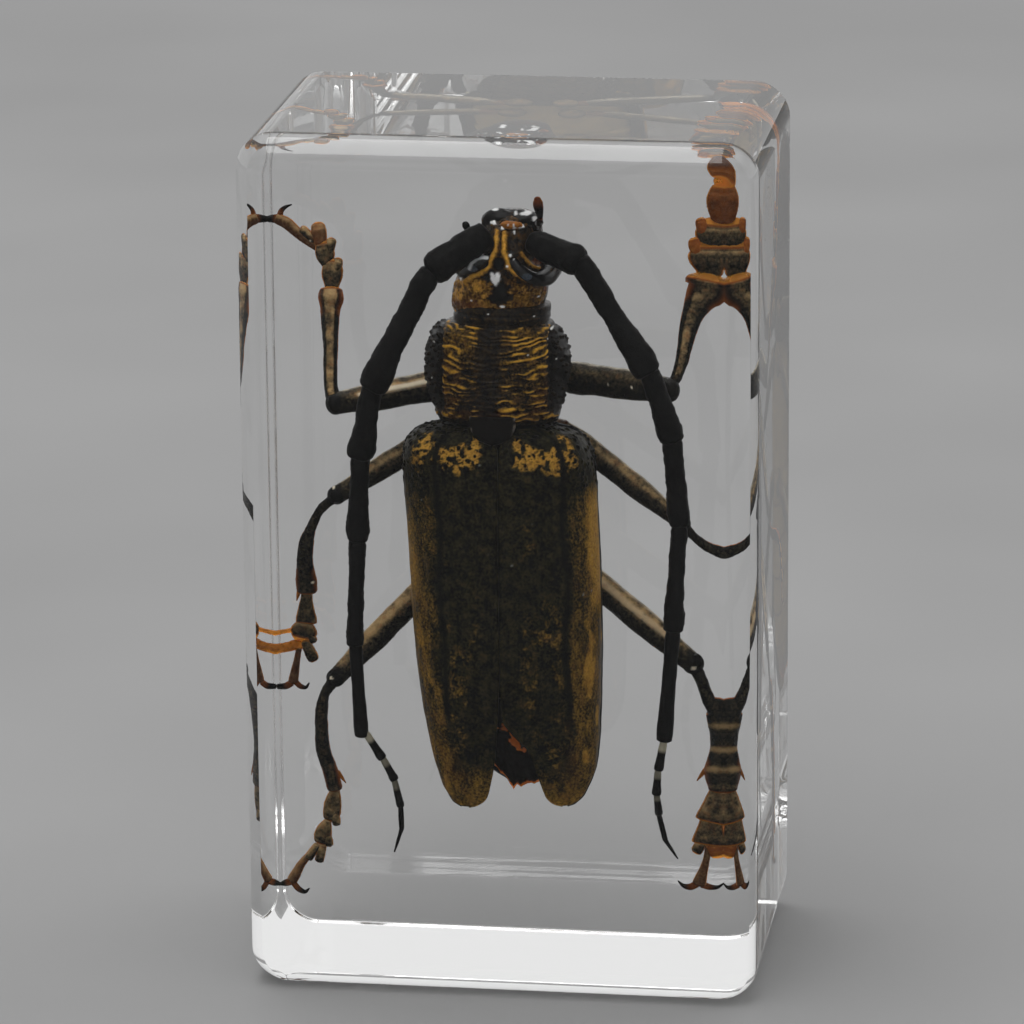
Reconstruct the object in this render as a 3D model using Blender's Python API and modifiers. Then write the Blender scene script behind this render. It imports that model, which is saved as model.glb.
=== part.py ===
"""Long-horned beetle cast in a clear resin block: the construction.

The block stands upright on its small face. The beetle hangs in it head up, its back towards the front
face (-Y) and its legs towards the back face (+Y). The origin is the middle of the block's underside.
The clear casting is parted in two at the beetle's level, so the beetle lies in a pocket that both halves
open on. Shapes are written in millimetres and turned to metres as they are built.
"""

import math
from collections import namedtuple

import bmesh
import bpy

MM = 0.001

# The clear block.
BLOCK_WIDTH = 42.7
BLOCK_DEPTH = 26.6
BLOCK_HEIGHT = 73.0
EDGE_RADIUS = 2.7
EDGE_STEPS = 3
PARTING_Y = 0.0
PARTING_GAP = 0.3

# Room left round the beetle, and between its own plates and joints.
POCKET_ROOM = 0.6
SOCKET_ROOM = 0.32
BAR_SIDES = 8
ROOM_SIDES = 6
BODY_SIDES = 20
BODY_ROOM_SIDES = 14

# One cross-section of a body part at height z: its middle x, half width, and its reach to the front (back
# of the beetle) and to the rear (belly of the beetle).
Ring = namedtuple("Ring", "z x half_width back belly")

HEAD = (
    Ring(57.6, -0.75, 3.5, 2.7, 2.8),
    Ring(58.8, -0.50, 4.0, 3.2, 3.2),
    Ring(60.6, -0.20, 4.1, 3.5, 3.5),
    Ring(62.4, 0.10, 3.5, 3.4, 3.4),
    Ring(64.0, 0.40, 2.8, 2.6, 3.0),
    Ring(65.2, 0.60, 2.2, 1.7, 2.4),
    Ring(66.0, 0.75, 1.5, 0.9, 1.6),
)
HEAD_ROOM = (
    Ring(57.0, -0.75, 4.1, 3.4, 3.6),
    Ring(58.6, -0.50, 5.5, 4.4, 4.3),
    Ring(62.3, 0.00, 5.4, 4.6, 4.4),
    Ring(64.9, 0.10, 5.1, 4.3, 3.6),
    Ring(67.7, 0.90, 3.5, 3.8, 1.8),
)
EYE_CENTRES = ((-3.2, -1.6, 60.8), (3.1, -1.6, 60.6))
EYE_RADIUS = 1.35
MANDIBLES = (
    ((-0.6, 0.2, 65.0, 0.9), (-0.5, 0.0, 66.1, 0.7), (0.4, -0.1, 66.8, 0.25)),
    ((2.0, 0.2, 65.0, 0.9), (2.0, 0.0, 66.1, 0.7), (1.2, -0.1, 66.8, 0.25)),
)
PALPS = (
    ((-1.9, -0.6, 64.2, 0.35), (-2.7, -1.6, 64.0, 0.3), (-3.1, -2.3, 64.6, 0.3)),
    ((2.4, -0.6, 64.6, 0.35), (2.9, -1.6, 65.4, 0.3), (2.7, -2.3, 66.6, 0.35)),
)

PRONOTUM = (
    Ring(48.3, -1.0, 4.9, 4.3, 4.4),
    Ring(50.5, -1.0, 5.5, 4.6, 4.7),
    Ring(52.9, -1.0, 5.7, 4.7, 4.8),
    Ring(55.0, -0.9, 4.9, 4.4, 4.6),
    Ring(56.4, -0.8, 4.2, 3.9, 4.0),
    Ring(57.3, -0.8, 3.8, 3.4, 3.5),
)
PRONOTUM_ROOM = (
    Ring(47.9, -1.0, 5.9, 5.2, 5.2),
    Ring(51.0, -1.0, 6.9, 5.5, 5.5),
    Ring(54.6, -1.0, 6.9, 5.3, 5.4),
    Ring(57.7, -0.8, 4.6, 4.1, 4.2),
)
WRINKLES = 13
WRINKLE_HEIGHT = 0.12
SIDE_LOBES = ((-6.3, 0.0, 52.6), (4.3, 0.0, 52.6))
SIDE_LOBE_RADIUS = 1.1

TRUNK = (
    Ring(16.0, 0.3, 1.3, 1.6, 1.4),
    Ring(17.4, 0.3, 3.3, 2.6, 2.4),
    Ring(21.0, 0.1, 5.6, 3.4, 3.6),
    Ring(26.0, -0.2, 6.4, 4.0, 4.4),
    Ring(32.0, -0.5, 6.7, 4.3, 5.0),
    Ring(39.0, -0.8, 6.7, 4.3, 5.2),
    Ring(44.5, -1.0, 6.0, 4.0, 5.0),
    Ring(46.4, -1.0, 4.5, 3.2, 4.2),
    Ring(47.9, -1.0, 2.6, 2.2, 3.4),
)
TRUNK_ROOM = (
    Ring(13.7, 0.6, 6.1, 5.0, 2.8),
    Ring(17.0, 0.3, 7.7, 5.6, 3.9),
    Ring(22.0, 0.1, 8.3, 5.8, 4.6),
    Ring(30.0, -0.4, 8.8, 6.2, 5.8),
    Ring(43.5, -1.0, 8.9, 6.3, 5.9),
    Ring(46.8, -1.0, 8.0, 5.6, 5.2),
    Ring(48.1, -1.0, 6.2, 5.0, 5.0),
)

# One wing-case row: height z, x at the seam and at the outer margin, and how high the case arches.
Row = namedtuple("Row", "z seam margin arch")

WING_CASE_LEFT = (
    Row(47.4, -1.0, -5.4, 3.9),
    Row(46.8, -0.8, -7.2, 4.5),
    Row(45.6, -0.75, -8.4, 4.9),
    Row(43.4, -0.75, -8.9, 5.3),
    Row(39.9, -0.75, -8.75, 5.5),
    Row(35.0, -0.75, -8.5, 5.6),
    Row(30.0, -0.75, -8.3, 5.5),
    Row(25.2, -0.75, -7.8, 5.2),
    Row(21.8, -0.75, -7.1, 4.9),
    Row(18.6, -0.9, -6.6, 4.5),
    Row(16.4, -1.4, -5.9, 4.2),
    Row(15.1, -2.0, -5.2, 4.0),
    Row(14.4, -2.9, -4.3, 3.9),
)
WING_CASE_RIGHT = (
    Row(47.4, -0.6, 3.4, 3.9),
    Row(46.8, -0.5, 5.2, 4.5),
    Row(45.6, -0.35, 6.4, 4.9),
    Row(43.4, -0.35, 6.95, 5.3),
    Row(39.9, -0.35, 7.2, 5.5),
    Row(35.0, -0.35, 7.4, 5.6),
    Row(30.0, -0.35, 7.5, 5.5),
    Row(25.2, -0.35, 7.5, 5.2),
    Row(22.2, -0.2, 7.4, 4.9),
    Row(19.6, 1.3, 7.3, 4.6),
    Row(17.0, 2.3, 6.8, 4.3),
    Row(15.6, 2.9, 6.0, 4.1),
    Row(14.8, 3.7, 4.9, 3.9),
)
WING_CASE_STEPS = 8
WING_CASE_THICKNESS = 0.55
MARGIN_ANGLE = math.radians(100.0)

# One leg: the joints that its bars run through, and the half thickness of its thigh.
Leg = namedtuple("Leg", "hip ring knee shin ankle pad claw_joint claw_tips thigh")

LEGS = {
    "leg_front_left": Leg(
        (-2.8, 5.5, 50.9), (-5.0, 4.9, 50.0), (-14.9, 1.5, 48.4), (-15.5, 2.9, 52.0), (-15.5, 5.0, 57.9),
        (-16.2, 6.2, 61.7), (-19.5, 7.2, 63.0), ((-18.9, 7.9, 64.0), (-20.1, 7.3, 63.5)), 1.15),
    "leg_front_right": Leg(
        (1.2, 5.5, 50.9), (3.4, 4.9, 50.8), (13.2, 1.5, 50.4), (14.4, 2.9, 53.6), (16.0, 5.0, 59.8),
        (17.1, 6.2, 65.4), (17.0, 7.3, 69.0), ((16.2, 8.2, 69.6), (17.9, 8.2, 69.6)), 1.15),
    "leg_middle_left": Leg(
        (-3.4, 5.8, 46.6), (-5.8, 4.9, 46.0), (-14.8, 2.0, 40.5), (-17.0, 3.6, 36.6), (-18.0, 6.0, 30.6),
        (-18.5, 6.7, 26.6), (-19.1, 7.2, 22.8), ((-18.3, 7.8, 22.3), (-20.1, 7.8, 22.3)), 1.0),
    "leg_middle_right": Leg(
        (1.8, 5.8, 46.6), (4.0, 4.9, 46.2), (14.4, 2.0, 38.7), (16.4, 2.9, 36.9), (18.4, 7.4, 34.8),
        (18.5, 9.4, 31.8), (18.4, 10.2, 28.6), ((17.6, 10.8, 28.0), (19.2, 10.8, 28.0)), 1.0),
    "leg_hind_left": Leg(
        (-3.6, 5.9, 35.6), (-6.2, 4.7, 33.8), (-15.2, 1.5, 24.5), (-16.4, 2.4, 20.4), (-15.8, 5.0, 13.8),
        (-17.4, 5.8, 8.6), (-19.4, 6.7, 5.2), ((-18.5, 7.3, 4.6), (-20.1, 6.9, 4.7)), 1.1),
    "leg_hind_right": Leg(
        (2.0, 5.9, 35.8), (4.8, 4.7, 34.6), (15.2, 1.5, 26.8), (16.6, 2.8, 22.6), (16.8, 5.0, 15.0),
        (16.6, 5.9, 9.8), (15.5, 6.8, 6.4), ((14.2, 7.2, 6.0), (16.4, 7.4, 5.8)), 1.1),
}
COXA_RADIUS = 1.0
KNEE_RADIUS = 0.85
SHIN_RADIUS = 0.58
ANKLE_RADIUS = 0.95
PAD_RADIUS = 0.85
NECK_RADIUS = 0.35
CLAW_RADIUS = 0.22
CLAW_TIP_RADIUS = 0.08
SPREAD_SPARE = 0.2

# Antenna joints: x, y, z and the half thickness at the swollen end of each article, base first.
ANTENNAE = {
    "antenna_left": (
        (-2.3, -3.9, 63.4, 0.75), (-6.4, -5.5, 61.2, 1.05), (-10.6, -5.5, 52.2, 1.2), (-12.0, -5.0, 46.2, 1.15),
        (-12.5, -4.1, 38.8, 1.0), (-12.9, -3.4, 31.6, 0.85), (-12.9, -2.9, 25.4, 0.8), (-12.7, -2.5, 20.6, 0.72),
        (-11.0, -2.3, 18.2, 0.42), (-9.6, -2.0, 14.6, 0.36), (-10.1, -1.0, 9.8, 0.12)),
    "antenna_right": (
        (3.1, -3.9, 63.3, 0.75), (6.6, -5.5, 62.2, 1.05), (11.8, -5.5, 53.4, 1.2), (13.7, -4.8, 48.2, 1.15),
        (14.4, -4.0, 40.6, 1.0), (14.0, -3.4, 32.0, 0.85), (13.4, -2.9, 26.4, 0.8), (13.0, -2.5, 21.6, 0.72),
        (12.3, -2.3, 18.2, 0.42), (12.6, -2.0, 14.4, 0.36), (14.0, -1.0, 10.2, 0.12)),
}
ARTICLE_WAIST = 0.66

# Colours, linear RGB: clear casting, black-brown shell, golden down, dull black feelers, olive legs.
CLEAR = (0.92, 0.93, 0.94)
GOLD_BROWN = (0.09, 0.055, 0.015)
BLACK_BROWN = (0.02, 0.016, 0.01)
FEELER_BLACK = (0.008, 0.008, 0.009)
LEG_OLIVE = (0.09, 0.07, 0.045)
BELLY_BROWN = (0.12, 0.045, 0.02)


def start_scene():
    """Empty the scene and make the collections of the parts and of the cutters."""
    for old in list(bpy.data.objects):
        bpy.data.objects.remove(old, do_unlink=True)
    collections = []
    for title in ("insect_in_resin_block", "cutters"):
        collection = bpy.data.collections.new(title)
        bpy.context.scene.collection.children.link(collection)
        collections.append(collection)
    return collections


def make_material(name, colour, roughness, alpha=1.0):
    """A Principled material of one colour."""
    material = bpy.data.materials.new(name)
    material.use_nodes = True
    shader = material.node_tree.nodes["Principled BSDF"]
    shader.inputs["Base Color"].default_value = (*colour, 1.0)
    shader.inputs["Roughness"].default_value = roughness
    shader.inputs["Metallic"].default_value = 0.0
    shader.inputs["Alpha"].default_value = alpha
    return material


def mesh_object(name, sheet, collection):
    """Turn a bmesh whose faces close it into a linked object, faces outward."""
    bmesh.ops.recalc_face_normals(sheet, faces=sheet.faces)
    mesh = bpy.data.meshes.new(name)
    sheet.to_mesh(mesh)
    sheet.free()
    body = bpy.data.objects.new(name, mesh)
    collection.objects.link(body)
    return body


def evaluated_mesh(body):
    """The mesh of an object with its modifiers or its curve's bevel worked in."""
    graph = bpy.context.evaluated_depsgraph_get()
    return bpy.data.meshes.new_from_object(body.evaluated_get(graph))


def combine(body, tool, operation):
    """Work a closed tool into a body (UNION or DIFFERENCE) and remove the tool."""
    step = body.modifiers.new(operation, "BOOLEAN")
    step.operation = operation
    step.solver = "EXACT"
    step.object = tool
    mesh = evaluated_mesh(body)
    body.modifiers.clear()
    body.data = mesh
    bpy.data.objects.remove(tool, do_unlink=True)


def ends_out(stations, room):
    """The stations with both ends carried on by the room that is added round them."""
    grown = [list(station) for station in stations]
    for end, inner in ((0, 1), (-1, -2)):
        run = math.dist(stations[end][:3], stations[inner][:3])
        for axis in range(3):
            grown[end][axis] += (stations[end][axis] - stations[inner][axis]) / run * room
    return grown


def bar(name, stations, collection, sides=BAR_SIDES, room=0.0):
    """A closed round bar through stations of x, y, z and half thickness."""
    curve = bpy.data.curves.new(name, "CURVE")
    curve.dimensions = "3D"
    curve.bevel_depth = MM
    curve.bevel_resolution = sides // 2 - 2
    curve.use_fill_caps = True
    spline = curve.splines.new("POLY")
    spline.points.add(len(stations) - 1)
    for point, (x, y, z, radius) in zip(spline.points, ends_out(stations, room)):
        point.co = (x * MM, y * MM, z * MM, 1.0)
        point.radius = radius + room
    guide = bpy.data.objects.new(name, curve)
    collection.objects.link(guide)
    sheet = bmesh.new()
    sheet.from_mesh(evaluated_mesh(guide))
    bmesh.ops.remove_doubles(sheet, verts=sheet.verts, dist=0.001 * MM)
    bpy.data.objects.remove(guide, do_unlink=True)
    return mesh_object(name, sheet, collection)


def ball(name, centre, radius, collection, stretch=(1.0, 1.0, 1.0)):
    """A closed ball or egg."""
    sheet = bmesh.new()
    bmesh.ops.create_uvsphere(sheet, u_segments=10, v_segments=7, radius=radius * MM)
    bmesh.ops.scale(sheet, vec=stretch, verts=sheet.verts)
    bmesh.ops.translate(sheet, vec=[value * MM for value in centre], verts=sheet.verts)
    return mesh_object(name, sheet, collection)


def loft(name, rings, collection, sides=BODY_SIDES, room=0.0, ripple=None):
    """A closed body through egg-shaped rings stacked along z."""
    sheet = bmesh.new()
    loops = []
    for ring in rings:
        raised = ripple(ring.z) if ripple else 0.0
        loop = []
        for step in range(sides):
            angle = 2.0 * math.pi * step / sides
            reach = (ring.back + raised) if math.sin(angle) > 0.0 else ring.belly
            x = ring.x + (ring.half_width + room) * math.cos(angle)
            y = -(reach + room) * math.sin(angle)
            loop.append(sheet.verts.new((x * MM, y * MM, ring.z * MM)))
        loops.append(loop)
    for lower, upper in zip(loops, loops[1:]):
        for step in range(sides):
            after = (step + 1) % sides
            sheet.faces.new((lower[step], lower[after], upper[after], upper[step]))
    sheet.faces.new(loops[0])
    sheet.faces.new(loops[-1])
    return mesh_object(name, sheet, collection)


def between(rings, count):
    """The given number of rings at even heights between the first and the last of a stack."""
    spread = []
    for step in range(count):
        z = rings[0].z + (rings[-1].z - rings[0].z) * step / (count - 1)
        pair = next(k for k in range(len(rings) - 1) if z <= rings[k + 1].z + 1e-6)
        low, high = rings[pair], rings[pair + 1]
        share = (z - low.z) / (high.z - low.z)
        spread.append(Ring(*(a + (b - a) * share for a, b in zip(low, high))))
    return spread


def make_head(collection):
    """Head with its eyes, jaws and feelers' palps."""
    head = loft("head", HEAD, collection)
    for centre in EYE_CENTRES:
        combine(head, ball("eye", centre, EYE_RADIUS, collection, (0.75, 0.9, 1.25)), "UNION")
    for stations in MANDIBLES + PALPS:
        combine(head, bar("mouth part", stations, collection, sides=ROOM_SIDES), "UNION")
    return head


def make_pronotum(collection):
    """Ribbed neck shield with a blunt lobe on each side."""
    middle = (PRONOTUM[0].z + PRONOTUM[-1].z) / 2.0
    half = (PRONOTUM[-1].z - PRONOTUM[0].z) / 2.0

    def ripple(z):
        fade = 1.0 - ((z - middle) / half) ** 2
        return WRINKLE_HEIGHT * fade * math.cos(math.pi * WRINKLES * (z - middle) / half / 2.0)

    shield = loft("pronotum", between(PRONOTUM, WRINKLES + 2), collection, ripple=ripple)
    for centre in SIDE_LOBES:
        lobe = ball("lobe", centre, SIDE_LOBE_RADIUS, collection, (0.8, 1.0, 1.6))
        combine(shield, lobe, "UNION")
    return shield


def make_wing_case(name, rows, collection):
    """One wing case: an arched open surface, thickened inward."""
    sheet = bmesh.new()
    grid = []
    for row in rows:
        line = []
        for step in range(WING_CASE_STEPS + 1):
            angle = MARGIN_ANGLE * step / WING_CASE_STEPS
            share = math.sin(min(angle, math.pi / 2.0))
            x = row.seam + (row.margin - row.seam) * share
            y = -row.arch * math.cos(angle)
            line.append(sheet.verts.new((x * MM, y * MM, row.z * MM)))
        grid.append(line)
    for upper, lower in zip(grid, grid[1:]):
        for step in range(WING_CASE_STEPS):
            sheet.faces.new((upper[step], lower[step], lower[step + 1], upper[step + 1]))
    case = mesh_object(name, sheet, collection)
    shell = case.modifiers.new("thickness", "SOLIDIFY")
    shell.thickness = WING_CASE_THICKNESS * MM
    shell.offset = -1.0
    case.data = evaluated_mesh(case)
    case.modifiers.clear()
    return case


def leg_bars(leg):
    """The stations of a leg's bars: hip, thigh, shin, foot and its claws."""
    def at(point, radius):
        return (*point, radius)

    def part_way(start, end, share):
        return tuple(a + (b - a) * share for a, b in zip(start, end))

    thigh_middle = part_way(leg.ring, leg.knee, 0.5)
    foot_first = part_way(leg.ankle, leg.pad, 0.5)
    claw_root = part_way(leg.claw_joint, leg.pad, 0.06)
    hip = (at(leg.hip, COXA_RADIUS), at(leg.ring, COXA_RADIUS * 0.75))
    thigh = (at(leg.ring, 0.75), at(part_way(leg.ring, leg.knee, 0.25), leg.thigh),
             at(thigh_middle, leg.thigh), at(leg.knee, KNEE_RADIUS))
    shin = (at(leg.knee, SHIN_RADIUS), at(leg.shin, SHIN_RADIUS), at(leg.ankle, ANKLE_RADIUS))
    foot = [(at(part_way(leg.ankle, leg.shin, 0.04), 0.45), at(foot_first, PAD_RADIUS)),
            (at(part_way(foot_first, leg.ankle, 0.12), 0.45), at(leg.pad, PAD_RADIUS)),
            (at(part_way(leg.pad, foot_first, 0.3), NECK_RADIUS), at(leg.claw_joint, NECK_RADIUS))]
    claws = [(at(claw_root, CLAW_RADIUS), at(tip, CLAW_TIP_RADIUS)) for tip in leg.claw_tips]
    return [hip, thigh, shin] + foot + claws


def make_leg(name, leg, collection):
    """One leg, its segments joined in one solid."""
    stations = leg_bars(leg)
    body = bar(name, stations[1], collection)
    for part in [stations[0]] + stations[2:]:
        combine(body, bar("segment", part, collection), "UNION")
    return body


def leg_room(name, leg, room, collection):
    """Fat bars that leave the given room round a leg."""
    hip, thigh, shin = leg_bars(leg)[:3]
    between_tips = tuple(sum(axis) / 2.0 for axis in zip(*leg.claw_tips))
    spread = math.dist(*leg.claw_tips) / 2.0
    foot = ((*leg.ankle, ANKLE_RADIUS), (*leg.pad, PAD_RADIUS), (*leg.claw_joint, spread * 0.6),
            (*between_tips, spread + SPREAD_SPARE))
    runs = (hip[:1] + thigh[:2] + thigh[3:], shin, foot)
    return [bar(name, run, collection, sides=ROOM_SIDES, room=room) for run in runs]


def antenna_bars(joints):
    """The stations of each article: a narrow start and a swollen end."""
    bars = []
    for start, end in zip(joints, joints[1:]):
        waist = ARTICLE_WAIST * end[3]
        knee = tuple(a + (b - a) * 0.72 for a, b in zip(start[:3], end[:3]))
        bars.append(((*start[:3], waist), (*knee, waist * 1.12), (*end[:3], end[3])))
    return bars


def make_antenna(name, joints, collection):
    """One antenna, its articles joined in one solid."""
    stations = antenna_bars(joints)
    body = bar(name, stations[0], collection)
    for part in stations[1:]:
        combine(body, bar("article", part, collection), "UNION")
    return body


def antenna_room(name, joints, room, collection):
    """Fat bars that leave the given room round an antenna: its shaft and its whip."""
    shaft = [(x, y, z, max(radius, 0.9)) for x, y, z, radius in joints[1:8]]
    whip = [(x, y, z, max(radius, 0.45)) for x, y, z, radius in joints[7:]]
    runs = (joints[:2], shaft, whip)
    return [bar(name, run, collection, sides=ROOM_SIDES, room=room) for run in runs]


def make_block_half(name, side, collection):
    """One half of the rounded block, cut flat at the parting plane; side is -1 in front, 1 behind."""
    sheet = bmesh.new()
    bmesh.ops.create_cube(sheet, size=1.0)
    size = (BLOCK_WIDTH * MM, BLOCK_DEPTH * MM, BLOCK_HEIGHT * MM)
    bmesh.ops.scale(sheet, vec=size, verts=sheet.verts)
    bmesh.ops.translate(sheet, vec=(0.0, 0.0, BLOCK_HEIGHT * MM / 2.0), verts=sheet.verts)
    bmesh.ops.bevel(sheet, geom=sheet.edges[:], offset=EDGE_RADIUS * MM, segments=EDGE_STEPS,
                    profile=0.5, affect="EDGES")
    face_y = (PARTING_Y + side * PARTING_GAP / 2.0) * MM
    everything = sheet.verts[:] + sheet.edges[:] + sheet.faces[:]
    bmesh.ops.bisect_plane(sheet, geom=everything, plane_co=(0.0, face_y, 0.0),
                           plane_no=(0.0, -side, 0.0), clear_outer=True)
    bmesh.ops.holes_fill(sheet, edges=[edge for edge in sheet.edges if edge.is_boundary])
    return mesh_object(name, sheet, collection)


def carve_pocket(half, cutters):
    """Take the beetle's room out of one half of the block."""
    rooms = [loft("room", rings, cutters, sides=BODY_ROOM_SIDES)
             for rings in (TRUNK_ROOM, PRONOTUM_ROOM, HEAD_ROOM)]
    for joints in ANTENNAE.values():
        rooms += antenna_room("room", joints, POCKET_ROOM, cutters)
    for leg in LEGS.values():
        rooms += leg_room("room", leg, POCKET_ROOM, cutters)
    for room in rooms:
        combine(half, room, "DIFFERENCE")


def finish(body, material):
    """Give a part its material and smooth shading up to its sharp edges."""
    body.data.materials.clear()
    body.data.materials.append(material)
    body.data.shade_smooth()
    body.data.set_sharp_from_angle(angle=math.radians(40.0))


def main():
    """Build every part of the block and of the beetle."""
    parts, cutters = start_scene()
    clear = make_material("clear_resin", CLEAR, 0.03, alpha=0.25)
    gold = make_material("golden_down", GOLD_BROWN, 0.45)
    shell = make_material("black_shell", BLACK_BROWN, 0.35)
    feeler = make_material("feeler_black", FEELER_BLACK, 0.6)
    olive = make_material("leg_olive", LEG_OLIVE, 0.5)
    belly = make_material("belly_brown", BELLY_BROWN, 0.4)

    head = make_head(parts)
    pronotum = make_pronotum(parts)
    trunk = loft("hind_body", TRUNK, parts)
    for joints in ANTENNAE.values():
        combine(head, bar("socket", joints[:2], cutters, room=SOCKET_ROOM), "DIFFERENCE")
    for leg in LEGS.values():
        for body in (pronotum, trunk):
            for run in leg_bars(leg)[:2]:
                combine(body, bar("socket", run, cutters, room=SOCKET_ROOM), "DIFFERENCE")
    finish(head, gold)
    finish(pronotum, gold)
    finish(trunk, belly)
    finish(make_wing_case("elytron_left", WING_CASE_LEFT, parts), shell)
    finish(make_wing_case("elytron_right", WING_CASE_RIGHT, parts), shell)
    for name, leg in LEGS.items():
        finish(make_leg(name, leg, parts), olive)
    for name, joints in ANTENNAE.items():
        finish(make_antenna(name, joints, parts), feeler)
    for name, side in (("resin_front", -1), ("resin_back", 1)):
        half = make_block_half(name, side, parts)
        carve_pocket(half, cutters)
        finish(half, clear)


main()
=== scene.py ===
"""Long-horned beetle cast in a clear resin block: the looks.

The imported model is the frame. One clear block stands for its two resin halves, and the beetle's plates, legs
and feelers are modelled again in full inside it. Shapes are written in millimetres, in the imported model's
frame: the origin is the middle of the block's underside, +Z is up towards the beetle's head, and the
beetle's back faces -Y, towards the camera.
"""

import logging
import math
from dataclasses import dataclass, field
from enum import Enum
from functools import partial

import bpy
import numpy as np
from mathutils import Matrix


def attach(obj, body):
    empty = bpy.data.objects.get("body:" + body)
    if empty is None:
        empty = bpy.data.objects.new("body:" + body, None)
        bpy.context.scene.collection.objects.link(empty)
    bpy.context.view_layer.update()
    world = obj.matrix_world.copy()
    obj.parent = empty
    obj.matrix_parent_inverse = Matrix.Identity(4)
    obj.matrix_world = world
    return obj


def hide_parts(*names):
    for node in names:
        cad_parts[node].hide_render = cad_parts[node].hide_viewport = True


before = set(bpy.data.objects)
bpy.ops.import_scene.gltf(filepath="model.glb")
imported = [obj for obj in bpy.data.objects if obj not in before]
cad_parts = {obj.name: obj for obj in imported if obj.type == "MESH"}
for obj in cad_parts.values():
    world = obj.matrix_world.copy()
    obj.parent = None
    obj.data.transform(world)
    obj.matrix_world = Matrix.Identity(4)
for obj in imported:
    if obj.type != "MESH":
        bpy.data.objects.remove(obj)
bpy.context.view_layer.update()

LOG = logging.getLogger("insect_in_resin_block")
Array = np.ndarray
Point = tuple[float, float, float]
MM = 0.001
FRONT = np.array([0.0, -1.0, 0.0])


class Slot(Enum):
    """The record's material slots."""

    RESIN = "clear_resin"
    SHIELD = "golden_shell"
    BELLY = "belly_shell"
    WING = "wing_case"
    LEG = "leg_shell"
    FEELER = "feeler_shell"


class Paint(Enum):
    """What is painted on a skin's corners, each from 0 to 1; the finishes read it by this name."""

    DOWN = "down"
    AMBER = "amber"
    PALE = "pale"
    BARE = "bare"


class Side(Enum):
    """The two sides of the beetle, by the sign of x."""

    LEFT = -1
    RIGHT = 1


# -------------------------------------------------------------------------------- numbers as arrays


def smooth_step(low: float, high: float, value: Array) -> Array:
    """Rise from 0 at low to 1 at high, as 3 t squared less 2 t cubed; high may be the lower one."""
    share = np.clip((value - low) / (high - low), 0.0, 1.0)
    return share * share * (3.0 - 2.0 * share)


def bump_at(value: Array, centre: float, width: float) -> Array:
    """A bell of height 1 at centre that falls to a third a width away."""
    return np.exp(-(((value - centre) / width) ** 2))


def hashed(cells: Array, seed: int) -> Array:
    """Give each whole-number cell one random number from 0 to 1.

    The three coordinates are multiplied by large primes and their bits are mixed.

    Args:
        cells: whole numbers, (..., 3).
        seed: which set of numbers to give.

    Returns:
        One number for each cell.
    """
    whole = cells.astype(np.int64)
    mixed = whole[..., 0] * 73856093 ^ whole[..., 1] * 19349663 ^ whole[..., 2] * 83492791
    mixed = (mixed ^ (seed * 668265263)) & 0xFFFFFFFF
    mixed = ((mixed ^ (mixed >> 15)) * 0x2C1B3C6D) & 0xFFFFFFFF
    mixed = ((mixed ^ (mixed >> 12)) * 0x297A2D39) & 0xFFFFFFFF
    return ((mixed ^ (mixed >> 15)) & 0xFFFFFF) / float(0x1000000)


def cloud(points: Array, size: float, seed: int, octaves: int = 1) -> Array:
    """Soft noise: random numbers at the corners of cubes, blended smoothly between them.

    Args:
        points: places in millimetres, (..., 3).
        size: the cubes' edge in millimetres.
        seed: which noise.
        octaves: how many layers, each half the size and half the weight of the one before.

    Returns:
        Values from 0 to 1, about 0.5 on average.
    """
    total = np.zeros(points.shape[:-1])
    weight = 0.0
    for octave in range(octaves):
        scaled = points * (2.0 ** octave / size)
        cell = np.floor(scaled)
        part = scaled - cell
        part = part * part * (3.0 - 2.0 * part)
        value = np.zeros(points.shape[:-1])
        for corner in np.ndindex(2, 2, 2):
            share = np.prod(np.where(np.array(corner) == 1, part, 1.0 - part), axis=-1)
            value += share * hashed(cell + np.array(corner), seed + octave)
        total += value * 0.5 ** octave
        weight += 0.5 ** octave
    return total / weight


def grains(points: Array, size: float, seed: int) -> tuple[Array, Array, Array]:
    """Scatter one seed in each cube and measure how far the nearest two are.

    Args:
        points: places in millimetres, (..., 3).
        size: the cubes' edge in millimetres, which is the seeds' mean spacing.
        seed: which scatter.

    Returns:
        The distance to the nearest seed, the distance to the next one, both in sizes, and a random number
        of the nearest seed.
    """
    scaled = points / size
    cell = np.floor(scaled)
    first = np.full(points.shape[:-1], 9.0)
    second = first.copy()
    number = np.zeros(points.shape[:-1])
    for step in np.ndindex(3, 3, 3):
        near = cell + np.array(step) - 1.0
        offset = np.stack([hashed(near, seed + axis) for axis in range(3)], axis=-1)
        away = np.linalg.norm(near + offset - scaled, axis=-1)
        closer = away < first
        second = np.where(closer, first, np.minimum(second, away))
        number = np.where(closer, hashed(near, seed + 7), number)
        first = np.where(closer, away, first)
    return first, second, number


def run_through(stations: Array, places: Array, order: Array) -> Array:
    """Run smoothly through a table's rows: cubic pieces whose slope at a row is that of its neighbours.

    Args:
        stations: the table, one row a station.
        places: where each row lies, rising.
        order: where values are wanted, on the same scale as places.

    Returns:
        One row of values for each number of order.
    """
    slopes = np.gradient(stations, places, axis=0)
    piece = np.clip(np.searchsorted(places, order, side="right") - 1, 0, len(places) - 2)
    run = (places[piece + 1] - places[piece])[:, None]
    t = ((order - places[piece])[:, None]) / run
    start, end = stations[piece], stations[piece + 1]
    rise, fall = slopes[piece] * run, slopes[piece + 1] * run
    return ((2 * t ** 3 - 3 * t ** 2 + 1) * start + (t ** 3 - 2 * t ** 2 + t) * rise
            + (3 * t ** 2 - 2 * t ** 3) * end + (t ** 3 - t ** 2) * fall)


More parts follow.
